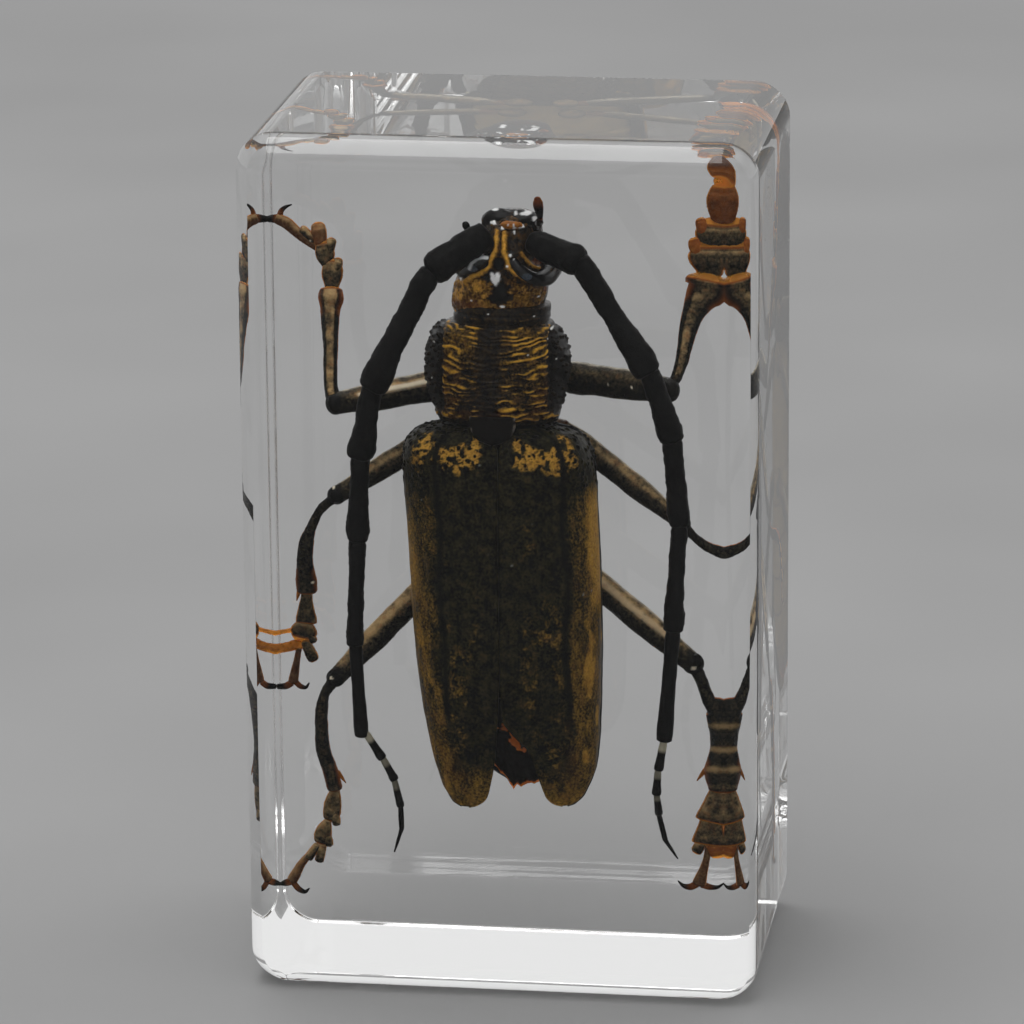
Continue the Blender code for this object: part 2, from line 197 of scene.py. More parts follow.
def beads(points: Array, size: float, seed: int, reach: float = 0.5) -> Array:
    """Round beads on a scatter's seeds: 1 less the square of the distance over their reach in sizes."""
    return np.clip(1.0 - (grains(points, size, seed)[0] / reach) ** 2, 0.0, 1.0)


def unit(vectors: Array) -> Array:
    """The vectors at length one."""
    return vectors / np.maximum(np.linalg.norm(vectors, axis=-1, keepdims=True), 1e-12)


def part_way(start: Point, end: Point, share: float) -> Array:
    """The point that lies the given share of the way from start to end."""
    return np.asarray(start, float) + (np.asarray(end, float) - np.asarray(start, float)) * share


# -------------------------------------------------------------------------------------------- skins


@dataclass
class Skin:
    """A closed surface: its corners in millimetres, its faces, and the paint on its corners."""

    corners: Array
    quads: Array
    triangles: Array
    paint: dict[Paint, Array] = field(default_factory=dict)

    def volume(self) -> float:
        """Six times the volume that the faces hold, negative when they face inward."""
        faces = np.concatenate([self.quads[:, :3], self.quads[:, [0, 2, 3]], self.triangles])
        a, b, c = (self.corners[faces[:, k]] for k in range(3))
        return float(np.sum(a * np.cross(b, c)))

    def outward(self) -> "Skin":
        """The same skin with its faces turned outward."""
        if self.volume() >= 0.0:
            return self
        return Skin(self.corners, self.quads[:, ::-1], self.triangles[:, ::-1], self.paint)


@dataclass
class Grid:
    """A surface as a function of two parameters: rows run along it, columns run round it.

    Attributes:
        points: places in millimetres, (rows, columns, 3).
        along: how far along each point lies, from 0 to 1, (rows, columns).
        turn: its angle round the path; a quarter turn faces the front, -Y.
        paint: the painted values, each (rows, columns).
    """

    points: Array
    along: Array
    turn: Array
    paint: dict[Paint, Array] = field(default_factory=dict)

    def normals(self) -> Array:
        """The outward normal at each point: the cross product of the steps along and round."""
        along = np.gradient(self.points, axis=0)
        around = np.roll(self.points, -1, axis=1) - np.roll(self.points, 1, axis=1)
        normal = unit(np.cross(along, around))
        out = self.points - self.points.mean(axis=1, keepdims=True)
        return normal if np.sum(normal * out) > 0.0 else -normal

    def x_and_z(self) -> tuple[Array, Array]:
        """The points' x and z, which place them as seen from the front."""
        return self.points[..., 0], self.points[..., 2]

    def raised(self, height: Array) -> "Grid":
        """The grid with each point moved out along its normal by a height in millimetres."""
        self.points = self.points + self.normals() * height[..., None]
        return self

    def painted(self, **values: Array | float) -> "Grid":
        """The grid with paint on it; each word is a Paint's name and gives its values."""
        for name, value in values.items():
            self.paint[Paint(name)] = np.clip(np.broadcast_to(value, self.along.shape), 0.0, 1.0)
        return self

    def closed(self) -> Skin:
        """The skin of the grid, closed round its columns and with a pole at each end."""
        rows, columns = self.along.shape
        index = np.arange(rows * columns).reshape(rows, columns)
        after = np.roll(index, -1, axis=1)
        quads = np.stack([index[:-1], after[:-1], after[1:], index[1:]], axis=-1).reshape(-1, 4)
        poles = rows * columns + np.arange(2)
        first = np.stack([after[0], index[0], np.full(columns, poles[0])], axis=-1)
        last = np.stack([index[-1], after[-1], np.full(columns, poles[1])], axis=-1)
        corners = np.concatenate([self.points.reshape(-1, 3), self.points[[0, -1]].mean(axis=1)])
        paint = {name: np.concatenate([value.ravel(), value[[0, -1]].mean(axis=1)])
                 for name, value in self.paint.items()}
        return Skin(corners, quads, np.concatenate([first, last]), paint).outward()


def joined(skins: list[Skin]) -> Skin:
    """Put several skins in one; paint that a skin lacks is 0 on it.

    Args:
        skins: the skins, which may run into each other.

    Returns:
        One skin with all their faces.
    """
    starts = np.cumsum([0] + [len(skin.corners) for skin in skins])
    names = sorted({name for skin in skins for name in skin.paint}, key=lambda name: name.value)
    return Skin(
        np.concatenate([skin.corners for skin in skins]),
        np.concatenate([skin.quads + start for skin, start in zip(skins, starts)]),
        np.concatenate([skin.triangles + start for skin, start in zip(skins, starts)]),
        {name: np.concatenate([skin.paint.get(name, np.zeros(len(skin.corners))) for skin in skins])
         for name in names})


def thick_sheet(top: Array, under: Array, paint: dict[Paint, Array]) -> Skin:
    """Close the space between two open grids of one shape: both grids and a strip along each border.

    Args:
        top: the outer grid, (rows, columns, 3).
        under: the inner grid, point for point under the outer one.
        paint: the outer grid's paint, which the inner one shares.

    Returns:
        The closed skin.
    """
    rows, columns = top.shape[:2]
    index = np.arange(rows * columns).reshape(rows, columns)
    upper = np.stack([index[:-1, :-1], index[:-1, 1:], index[1:, 1:], index[1:, :-1]], axis=-1)
    upper = upper.reshape(-1, 4)
    rim = np.concatenate([index[0, :-1], index[:-1, -1], index[-1, :0:-1], index[:0:-1, 0]])
    after = np.roll(rim, -1)
    shift = rows * columns
    strip = np.stack([after, rim, rim + shift, after + shift], axis=-1)
    quads = np.concatenate([upper, upper[:, ::-1] + shift, strip])
    corners = np.concatenate([top.reshape(-1, 3), under.reshape(-1, 3)])
    both = {name: np.tile(value.ravel(), 2) for name, value in paint.items()}
    return Skin(corners, quads, np.zeros((0, 3), int), both).outward()


def bar(stations: list, sides: int, steps: int, dome: float = 0.8) -> Grid:
    """Carry an oval along a smooth path, with rounded ends.

    At each step the oval lies across the path: its width goes along the cross product of the path's
    direction and the front's, and its depth goes towards the front. Past each end the path carries on
    straight by the dome's share of the end's half width, and the oval shrinks as a quarter circle does.

    Args:
        stations: rows of x, y, z, half width and half depth in millimetres.
        sides: points round the oval.
        steps: ovals along the path.
        dome: the length of the rounded ends, in half widths.

    Returns:
        The bar's grid.
    """
    table = np.asarray(stations, float)
    places = np.concatenate([[0.0], np.cumsum(np.linalg.norm(np.diff(table[:, :3], axis=0), axis=1))])
    length = places[-1]
    body = np.linspace(0.0, length, steps)
    arc = np.sin(np.linspace(0.0, math.pi / 2.0, 8)[1:-1])
    before, past = dome * table[0, 3] * arc, dome * table[-1, 3] * arc
    run = run_through(table, places, body)
    path = run[:, :3]
    way = unit(np.gradient(path, axis=0))
    shrink = np.sqrt(1.0 - arc ** 2)
    path = np.concatenate([(path[0] - way[0] * before[:, None])[::-1], path,
                           path[-1] + way[-1] * past[:, None]])
    way = np.concatenate([np.repeat(way[:1], len(arc), 0), way, np.repeat(way[-1:], len(arc), 0)])
    reach = np.concatenate([(run[0, 3:5] * shrink[:, None])[::-1], run[:, 3:5],
                            run[-1, 3:5] * shrink[:, None]])
    across = unit(np.cross(way, FRONT))
    facing = np.cross(across, way)
    turn = np.linspace(0.0, 2.0 * math.pi, sides, endpoint=False)
    points = (path[:, None] + across[:, None] * (reach[:, :1] * np.cos(turn))[..., None]
              + facing[:, None] * (reach[:, 1:] * np.sin(turn))[..., None])
    share = np.concatenate([-before[::-1], body, length + past]) / length
    return Grid(points, np.repeat(share[:, None], sides, 1), np.repeat(turn[None], len(share), 0))


def egg(centre: Point, reach: Point, sides: int = 28, rings: int = 18) -> Grid:
    """An egg: a ball's points times three reaches.

    Args:
        centre: its middle in millimetres.
        reach: its half sizes in x, y and z.
        sides: points round each ring.
        rings: rings from bottom to top.

    Returns:
        The egg's grid.
    """
    rise = np.linspace(-math.pi / 2.0, math.pi / 2.0, rings + 2)[1:-1]
    turn = np.linspace(0.0, 2.0 * math.pi, sides, endpoint=False)
    x = np.cos(rise)[:, None] * np.cos(turn) * reach[0]
    y = -np.cos(rise)[:, None] * np.sin(turn) * reach[1]
    z = np.repeat(np.sin(rise)[:, None], sides, 1) * reach[2]
    points = np.stack([x, y, z], axis=-1) + np.asarray(centre)
    share = np.repeat((np.sin(rise)[:, None] + 1.0) / 2.0, sides, 1)
    return Grid(points, share, np.repeat(turn[None], rings, 0))


def stacked(rows: tuple, heights: Array, sides: int, squareness: float) -> Grid:
    """Stack egg-shaped rings along z.

    A ring's x is its middle plus its half width times the cosine of the turn, and its y is its front or
    rear reach times the sine; a squareness under 1 is the power that both are raised to, which makes the
    ring boxier.

    Args:
        rows: rows of z, middle x, half width, front reach and rear reach in millimetres, z rising.
        heights: the rings' heights.
        sides: points round each ring.
        squareness: the power on sine and cosine.

    Returns:
        The body's grid.
    """
    table = np.asarray(rows, float)
    ring = run_through(table[:, 1:], table[:, 0], heights)
    turn = np.linspace(0.0, 2.0 * math.pi, sides, endpoint=False)
    side = np.sign(np.cos(turn)) * np.abs(np.cos(turn)) ** squareness
    face = np.sign(np.sin(turn)) * np.abs(np.sin(turn)) ** squareness
    reach = np.where(face[None] > 0.0, ring[:, 2:3], ring[:, 3:4])
    points = np.stack([ring[:, :1] + ring[:, 1:2] * side, -reach * face,
                       np.repeat(heights[:, None], sides, 1)], axis=-1)
    share = (heights - heights[0]) / (heights[-1] - heights[0])
    return Grid(points, np.repeat(share[:, None], sides, 1), np.repeat(turn[None], len(heights), 0))


def cosine_run(start: float, end: float, count: int) -> Array:
    """Numbers from start to end that crowd together at both ends, as the cosine does."""
    return start + (end - start) * (1.0 - np.cos(np.linspace(0.0, math.pi, count))) / 2.0


# ---------------------------------------------------------------------------- pieces and node trees


def make_piece(name: str, skin: Skin, material: bpy.types.Material) -> bpy.types.Object:
    """Turn a skin into a smooth mesh object at the origin, with its place in its mesh.

    Args:
        name: the piece's name.
        skin: the skin, in millimetres.
        material: its finish.

    Returns:
        The object.
    """
    mesh = bpy.data.meshes.new(name)
    counts = np.concatenate([np.full(len(skin.quads), 4), np.full(len(skin.triangles), 3)])
    loops = np.concatenate([skin.quads.ravel(), skin.triangles.ravel()]).astype(np.int32)
    mesh.vertices.add(len(skin.corners))
    mesh.vertices.foreach_set("co", (skin.corners * MM).ravel())
    mesh.loops.add(len(loops))
    mesh.loops.foreach_set("vertex_index", loops)
    mesh.polygons.add(len(counts))
    mesh.polygons.foreach_set("loop_start", np.concatenate([[0], np.cumsum(counts)[:-1]]).astype(np.int32))
    for paint, values in skin.paint.items():
        layer = mesh.attributes.new(paint.value, "FLOAT", "POINT")
        layer.data.foreach_set("value", values.astype(np.float32))
    mesh.update(calc_edges=True)
    mesh.validate()
    mesh.shade_smooth()
    mesh.materials.append(material)
    piece = bpy.data.objects.new(name, mesh)
    bpy.context.scene.collection.objects.link(piece)
    LOG.info("%s: %d triangles", name, 2 * len(skin.quads) + len(skin.triangles))
    return piece


def settle(piece: bpy.types.Object, slot: Slot, *nodes: str) -> None:
    """Let a finished piece ride on the one body, in place of CAD nodes, which it hides.

    Args:
        piece: the piece.
        slot: not used.
        nodes: the CAD nodes that it stands for.
    """
    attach(piece, "root")
    if nodes:
        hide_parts(*nodes)


def linear(hex_colour: str) -> tuple[float, float, float, float]:
    """Turn an sRGB hex colour such as #8A6420 into linear RGBA."""
    parts = [int(hex_colour[k:k + 2], 16) / 255.0 for k in (1, 3, 5)]
    return (*[part / 12.92 if part <= 0.04045 else ((part + 0.055) / 1.055) ** 2.4 for part in parts], 1.0)


def add_node(tree: bpy.types.NodeTree, kind: str, sockets: dict | None = None, ramp: list | None = None,
             **settings) -> bpy.types.Node:
    """Add one node with its settings, its sockets and its links.

    Args:
        tree: the node tree.
        kind: the node's type.
        sockets: what each input socket holds, by name or number: a value, or another node's output.
        ramp: for a colour ramp, its stops as (place, colour).
        settings: the node's own settings.

    Returns:
        The node.
    """
    node = tree.nodes.new(kind)
    for key, value in settings.items():
        setattr(node, key, value)
    for key, value in (sockets or {}).items():
        if isinstance(value, bpy.types.NodeSocket):
            tree.links.new(value, node.inputs[key])
        else:
            node.inputs[key].default_value = value
    if ramp:
        stops = node.color_ramp.elements
        while len(stops) < len(ramp):
            stops.new(0.5)
        for stop, (place, colour) in zip(stops, ramp):
            stop.position = place
            stop.color = colour
    return node


def weighted(tree: bpy.types.NodeTree, total: object,
             *terms: tuple[bpy.types.NodeSocket, float]) -> bpy.types.NodeSocket:
    """Add up values that vary over the surface, each times its weight, by a chain of nodes.

    Args:
        tree: the node tree.
        total: what the chain starts from, a number or another node's output.
        terms: each value with its weight.

    Returns:
        The output that gives the sum.
    """
    for value, weight in terms:
        total = add_node(tree, "ShaderNodeMath", {0: value, 1: weight, 2: total},
                         operation="MULTIPLY_ADD").outputs[0]
    return total


def new_material(name: str) -> tuple[bpy.types.Material, bpy.types.Node]:
    """Make a material, and give it with its Principled shader."""
    material = bpy.data.materials.new(name)
    material.use_nodes = True
    return material, material.node_tree.nodes["Principled BSDF"]


# ----------------------------------------------------------------------------------------- finishes


@dataclass(frozen=True)
class CastResin:
    """Clear cast polyester resin, ground and polished: colourless, and it bends light much as glass does.

    A little absorption greys what lies deep in it, and the polish is so fine that reflections stay sharp.
    """

    name: str = "clear cast polyester resin"
    tint: str = "#FFFFFF"
    ior: float = 1.5
    haze: str = "#E6E8E6"
    haze_per_metre: float = 4.0

    def material(self) -> bpy.types.Material:
        """The see-through material, by plain transmission, IOR and absorption values."""
        material, shader = new_material(self.name)
        tree = material.node_tree
        shader.inputs["Base Color"].default_value = linear(self.tint)
        shader.inputs["Roughness"].default_value = 0.0
        shader.inputs["IOR"].default_value = self.ior
        shader.inputs["Transmission Weight"].default_value = 1.0
        depth = add_node(tree, "ShaderNodeVolumeAbsorption",
                         {"Color": linear(self.haze), "Density": self.haze_per_metre})
        tree.links.new(depth.outputs[0], tree.nodes["Material Output"].inputs["Volume"])
        return material


@dataclass(frozen=True)
class Chitin:
    """Beetle shell, hardened chitin: black-brown and glossy where bare, dull where fine down lies on it.

    The painted values steer it: down lays the golden or grey hair, amber thins the shell until light
    comes through it, first red-brown and then orange, pale is milky joint skin, pale marks and white
    flecks of painted highlight, and bare takes the mottling away. The IOR is chitin's 1.56 over the
    resin's 1.5, raised a little for the films of air that cling to the shell, and the shine is low,
    because resin that wets a shell takes its gloss away. Mottling is how gently dark passes into brown,
    and patchiness is how much the noise breaks up the down.
    """

    name: str
    dark: str
    brown: str
    down_deep: str
    down_light: str
    amber_deep: str = "#5C2C12"
    amber_light: str = "#E8922E"
    pale: str = "#A39A83"
    gloss: float = 0.32
    dull: float = 0.62
    ior: float = 1.16
    glow: float = 0.7
    mottle_mm: float = 1.1
    hair_mm: float = 0.24
    mottling: float = 0.2
    relief_mm: float = 0.06
    shine: float = 0.3
    patchiness: float = 1.0

    def material(self) -> bpy.types.Material:
        """The shell's material, from noise in millimetres and the painted values."""
        material, shader = new_material(self.name)
        tree = material.node_tree
        node = partial(add_node, tree)
        place = node("ShaderNodeTexCoord").outputs["Object"]
        millimetres = node("ShaderNodeMapping", {"Vector": place, "Scale": (1.0 / MM,) * 3}).outputs[0]
        mottle, hair = (
            node("ShaderNodeTexNoise", {"Vector": millimetres, "Scale": 1.0 / size_mm, "Detail": detail,
                                        "Roughness": 0.6}).outputs["Fac"]
            for size_mm, detail in ((self.mottle_mm, 3.0), (self.hair_mm, 2.0)))
        down, amber, milky, bare = (node("ShaderNodeAttribute", attribute_name=paint.value).outputs["Fac"]
                                    for paint in Paint)
        patchy = self.patchiness
        covered = weighted(tree, -0.1 - 0.85 * patchy, (mottle, 0.6 * patchy), (hair, 1.1 * patchy),
                           (down, 1.4), (bare, -0.8))
        copper, lies, thin, thinner = (
            node("ShaderNodeMapRange", {"Value": value, "From Min": low, "From Max": high},
                 interpolation_type="SMOOTHSTEP").outputs[0]
            for value, low, high in ((mottle, 0.5, 0.68), (covered, 0.0, 1.0), (amber, 0.0, 0.5),
                                     (amber, 0.45, 1.0)))
        shade = weighted(tree, 0.0, (mottle, 0.5), (hair, 0.5))
        tone = weighted(tree, -0.4 * patchy, (hair, 0.8 * patchy), (down, 0.9))
        colour, golden = (
            node("ShaderNodeValToRGB", {"Fac": value}, ramp=ramp).outputs["Color"] for value, ramp in (
                (shade, [(0.42, linear(self.dark)), (0.42 + self.mottling, linear(self.brown))]),
                (tone, [(0.25, linear(self.down_deep)), (0.95, linear(self.down_light))])))
        rusty = node("ShaderNodeMix", {0: weighted(tree, 0.0, (copper, 0.35)), 6: golden,
                                       7: linear(self.amber_deep)}, data_type="RGBA").outputs[2]
        for share, layer in ((bare, linear(self.dark)), (lies, rusty), (thin, linear(self.amber_deep)),
                             (thinner, linear(self.amber_light)), (milky, linear(self.pale))):
            colour = node("ShaderNodeMix", {0: share, 6: colour, 7: layer}, data_type="RGBA").outputs[2]
        relief = node("ShaderNodeBump", {"Height": weighted(tree, hair, (mottle, 0.6)), "Strength": 0.8,
                                         "Distance": self.relief_mm * MM}).outputs[0]
        for socket, value in (
                ("Base Color", colour), ("Normal", relief),
                ("Roughness", weighted(tree, self.gloss, (lies, self.dull - self.gloss))),
                ("Transmission Weight", weighted(tree, 0.0, (thinner, self.glow)))):
            tree.links.new(value, shader.inputs[socket])
        shader.inputs["IOR"].default_value = self.ior
        shader.inputs["Specular IOR Level"].default_value = self.shine
        return material


@dataclass(frozen=True)
class PaperFloor:
    """Matt grey paper backdrop, with a faint mottle that keeps it from looking painted."""

    name: str = "matt grey paper"
    light: str = "#828282"
    shade: str = "#7D7D7D"

    def material(self) -> bpy.types.Material:
        """The floor's dull material."""
        material, shader = new_material(self.name)
        tree = material.node_tree
        place = add_node(tree, "ShaderNodeTexCoord").outputs["Object"]
        soft = add_node(tree, "ShaderNodeTexNoise", {"Vector": place, "Scale": 14.0}).outputs["Fac"]
        tint = add_node(tree, "ShaderNodeValToRGB", {"Fac": soft}, ramp=[
            (0.35, linear(self.shade)), (0.65, linear(self.light))]).outputs["Color"]
        tree.links.new(tint, shader.inputs["Base Color"])
        shader.inputs["Roughness"].default_value = 0.95
        shader.inputs["Specular IOR Level"].default_value = 0.1
        return material


# ---------------------------------------------------------------------------------------- the block


@dataclass(frozen=True)
class Edge:
    """How the block is rounded along one side: an arc from the face, then a facet that bulges a little.

    Attributes:
        start: how far inside the side plane the rounding starts, in millimetres.
        radius: the arc's radius.
        end: the degrees that the arc's normal turns from the face.
        facet: the degrees at which the facet's normal starts and ends; a plain quarter circle has none.
        gap: how far the facet keeps from the arc and from the side plane, in millimetres.
        lip: how much deeper than the facet the side plane starts.
    """

    start: float
    radius: float
    end: float = 90.0
    facet: tuple[float, float] | None = None
    gap: float = 0.02
    lip: float = 0.03

    def profile(self, steps: int) -> Array:
        """The rounding as rows: inside the side plane, inside the face, and the normal's turn in radians.

        Args:
            steps: how many rows follow the first.

        Returns:
            The rows, from the face to the side.
        """
        arc_steps = steps // 2 if self.facet else steps
        turn = np.radians(np.linspace(0.0, self.end, arc_steps + 1))
        arc = np.stack([self.start - self.radius * np.sin(turn),
                        self.radius * (1.0 - np.cos(turn)), turn], axis=-1)
        if self.facet is None:
            return arc
        low, high = np.radians(self.facet)
        bulge = (arc[-1, 0] - 2.0 * self.gap) / (math.sin(high) - math.sin(low))
        turn = np.linspace(low, high, steps - arc_steps - 1)
        facet = np.stack([self.gap + bulge * (math.sin(high) - np.sin(turn)),
                          arc[-1, 1] + self.gap + bulge * (math.cos(low) - np.cos(turn)), turn], axis=-1)
        return np.concatenate([arc, facet, [[0.0, facet[-1, 1] + self.lip, math.pi / 2.0]]])


@dataclass
class ResinBlock:
    """The clear casting: a slab with rounded corners, and a rounding all round its front and its back.

    The front's two long edges are ground by hand: a soft arc, then a facet that meets the side. They
    mirror the feet that lie near them. The back rounding is small, so that what lies behind it shows
    clean along the block's sides.
    """

    width: float = 42.7
    depth: float = 26.6
    height: float = 73.0
    corner_radius: float = 3.1
    plain: Edge = Edge(2.6, 2.6)
    left: Edge = Edge(2.9, 3.9, 26.0, (46.0, 62.0))
    right: Edge = Edge(2.6, 3.0, 43.0, (62.0, 84.0))
    back: Edge = Edge(0.28, 0.28)
    steps: int = 28

    def outline(self) -> tuple[Array, Array]:
        """The slab's outline as seen from the front: four quarter circles, anticlockwise from the right.

        Returns:
            The middle of each point's quarter circle and its direction from there, (points, 3).
        """
        quarter = np.linspace(0.0, math.pi / 2.0, self.steps + 1)
        turn = (quarter[None] + np.arange(4)[:, None] * math.pi / 2.0).ravel()
        across = np.repeat([1.0, -1.0, -1.0, 1.0], self.steps + 1) * (self.width / 2.0 - self.corner_radius)
        low, high = self.corner_radius, self.height - self.corner_radius
        up = np.repeat([high, high, low, low], self.steps + 1)
        middle = np.stack([across, np.zeros_like(turn), up], axis=-1)
        return middle, np.stack([np.cos(turn), np.zeros_like(turn), np.sin(turn)], axis=-1)

    def rounding(self, end: float) -> tuple[Array, Array]:
        """The rounding round the front or the back, as rows of the outline.

        Along the front the left and the right profile blend into the plain one round the corners, by how
        far the outline faces sideways.

        Args:
            end: -1 for the front, 1 for the back.

        Returns:
            The points and their normals, (rows, points, 3), from the face to the side.
        """
        middle, outward = self.outline()
        if end > 0.0:
            rows = np.repeat(self.back.profile(self.steps)[:, None], len(middle), 1)
        else:
            to_left, to_right = (smooth_step(0.0, 1.0, side * outward[:, :1]) for side in (-1.0, 1.0))
            rows = (self.left.profile(self.steps)[:, None] * to_left
                    + self.right.profile(self.steps)[:, None] * to_right
                    + self.plain.profile(self.steps)[:, None] * (1.0 - to_left - to_right))
        inside, deep, turn = np.moveaxis(rows, -1, 0)[..., None]
        facing = np.array([0.0, end, 0.0])
        normal = outward * np.sin(turn) + facing * np.cos(turn)
        points = middle + outward * (self.corner_radius - inside) + facing * (self.depth / 2.0 - deep)
        return points, normal

    def skin(self) -> tuple[Skin, Array]:
        """The block's skin: both roundings, the flat sides between them, and the two flat faces.

        Each face has a fan at each corner, a strip along each side, and one big quad in the middle.

        Returns:
            The skin and its exact normals, so that the wide flats stay optically flat.
        """
        front, back = self.rounding(-1.0), self.rounding(1.0)
        points = np.concatenate([front[0], back[0][::-1]])
        normals = np.concatenate([front[1], back[1][::-1]])
        rows, columns = points.shape[:2]
        index = np.arange(rows * columns).reshape(rows, columns)
        after = np.roll(index, -1, axis=1)
        quads = [np.stack([index[:-1], after[:-1], after[1:], index[1:]], axis=-1).reshape(-1, 4)]
        triangles = []
        corner = np.arange(columns) // (self.steps + 1)
        side = np.arange(columns) % (self.steps + 1) == self.steps
        middle = self.outline()[0][::self.steps + 1]
        for row, end in ((0, -1.0), (-1, 1.0)):
            poles = rows * columns + (4 if row else 0) + np.arange(4)
            ring, beside = index[row], after[row]
            turned = slice(None) if row else slice(None, None, -1)
            triangles.append(np.stack([ring, beside, poles[corner]], axis=-1)[~side][:, turned])
            strip = np.stack([ring, beside, poles[(corner + 1) % 4], poles[corner]], axis=-1)[side]
            quads += [strip[:, turned], poles[None, turned]]
            facing = np.array([0.0, end, 0.0])
            points = np.append(points.reshape(-1, 3), middle + facing * self.depth / 2.0, axis=0)
            normals = np.append(normals.reshape(-1, 3), np.tile(facing, (4, 1)), axis=0)
        return Skin(points, np.concatenate(quads), np.concatenate(triangles)).outward(), normals

    def build(self) -> None:
        """Make the block, give it its exact normals, and let it stand for both resin halves."""
        skin, normals = self.skin()
        block = make_piece("resin_block", skin, CastResin().material())
        block.data.normals_split_custom_set_from_vertices(normals.tolist())
        settle(block, Slot.RESIN, "resin_front", "resin_back")


# ---------------------------------------------------------------------------------------- the stage


@dataclass
class Studio:
    """The camera at the photograph's angle, a grey floor, a white room and a long softbox overhead.

    The camera's place is in millimetres and its turns are in radians. The floor and the softbox are in
    metres. The sky values are how bright the room is in front of the block, behind it and above it, and
    the spans are the parts of the sky over which that brightness rises.
    """

    camera_mm: Point = (70.909, -479.062, 177.101)
    yaw: float = 0.1482
    pitch: float = 0.2788
    roll: float = -0.00877
    lens: float = 211.21
    sensor: float = 36.0
    floor_reach: float = 3.0
    sky_front: float = 0.32
    sky_back: float = 0.85
    sky_top: float = 1.3
    wall_span: tuple[float, float] = (-0.5, 0.5)
    ceiling_span: tuple[float, float] = (0.45, 0.95)
    softbox_place: Point = (-0.13, -0.12, 0.86)
    softbox_aim: Point = (0.0, 0.0, 0.04)
    softbox_size: tuple[float, float] = (0.34, 1.1)
    softbox_watts: float = 4.0
    black_level: float = 0.006

    def place_camera(self) -> None:
        """Look along the fitted direction: yaw turns it about z, pitch lowers it, roll turns the picture."""
        right = np.array([math.cos(self.yaw), math.sin(self.yaw), 0.0])
        forward = np.array([-math.sin(self.yaw) * math.cos(self.pitch),
                            math.cos(self.yaw) * math.cos(self.pitch), -math.sin(self.pitch)])
        up = np.cross(right, forward)
        across = right * math.cos(self.roll) + up * math.sin(self.roll)
        upward = up * math.cos(self.roll) - right * math.sin(self.roll)
        turn = Matrix(np.stack([across, upward, -forward], axis=1).tolist()).to_4x4()
        data = bpy.data.cameras.new("camera")
        data.lens = self.lens
        data.sensor_width = self.sensor
        data.clip_start = 0.01
        data.clip_end = 50.0
        camera = bpy.data.objects.new("camera", data)
        camera.matrix_world = Matrix.Translation([value * MM for value in self.camera_mm]) @ turn
        bpy.context.scene.collection.objects.link(camera)
        bpy.context.scene.camera = camera

    def lay_floor(self) -> None:
        """Lay the paper under the block and far behind it."""
        steps = np.linspace(-self.floor_reach, self.floor_reach, 13) / MM
        x, y = np.meshgrid(steps, steps, indexing="ij")
        top = np.stack([x, y, np.full_like(x, -0.02)], axis=-1)
        skin = thick_sheet(top, top - np.array([0.0, 0.0, 3.0]), {})
        floor = make_piece("paper_floor", skin, PaperFloor().material())

    def hang_softbox(self) -> None:
        """Hang one rectangular area light that faces its aim, with its long side running back to front."""
        data = bpy.data.lights.new("softbox_overhead", "AREA")
        data.shape = "RECTANGLE"
        data.size, data.size_y = self.softbox_size
        data.energy = self.softbox_watts
        light = bpy.data.objects.new("softbox_overhead", data)
        back = unit(np.subtract(self.softbox_place, self.softbox_aim))
        side = unit(np.cross((0.0, 1.0, 0.0), back))
        way = Matrix(np.stack([side, np.cross(back, side), back], axis=1).tolist()).to_4x4()
        light.matrix_world = Matrix.Translation(self.softbox_place) @ way
        bpy.context.scene.collection.objects.link(light)

    def light_room(self) -> None:
        """Fill the room with white light, stronger behind the block, and hang the softbox over it."""
        world = bpy.data.worlds.new("room")
        bpy.context.scene.world = world
        world.use_nodes = True
        tree = world.node_tree
        way = add_node(tree, "ShaderNodeTexCoord").outputs["Generated"]
        parts = add_node(tree, "ShaderNodeSeparateXYZ", {0: way}).outputs
        walls, ceiling = (
            add_node(tree, "ShaderNodeMapRange", {
                "Value": parts[axis], "From Min": span[0], "From Max": span[1], "To Min": low,
                "To Max": high}, interpolation_type="SMOOTHSTEP").outputs[0]
            for axis, span, low, high in (("Y", self.wall_span, self.sky_front, self.sky_back),
                                          ("Z", self.ceiling_span, 0.0, self.sky_top)))
        strength = add_node(tree, "ShaderNodeMath", {0: walls, 1: ceiling}, operation="ADD").outputs[0]
        sky = tree.nodes["Background"]
        sky.inputs["Color"].default_value = (1.0, 1.0, 1.0, 1.0)
        tree.links.new(strength, sky.inputs["Strength"])
        self.hang_softbox()

    def build(self) -> None:
        """Set the camera, the floor, the light and how the picture is developed."""
        self.place_camera()
        self.lay_floor()
        self.light_room()
        scene = bpy.context.scene
        scene.view_settings.view_transform = "Standard"
        scene.view_settings.use_curve_mapping = True
        scene.view_settings.curve_mapping.black_level = (self.black_level,) * 3
        scene.view_settings.curve_mapping.update()
        scene.cycles.max_bounces = 24
        scene.cycles.transmission_bounces = 20
        scene.cycles.glossy_bounces = 16
        scene.cycles.diffuse_bounces = 3
        scene.cycles.caustics_reflective = True
        scene.cycles.caustics_refractive = True
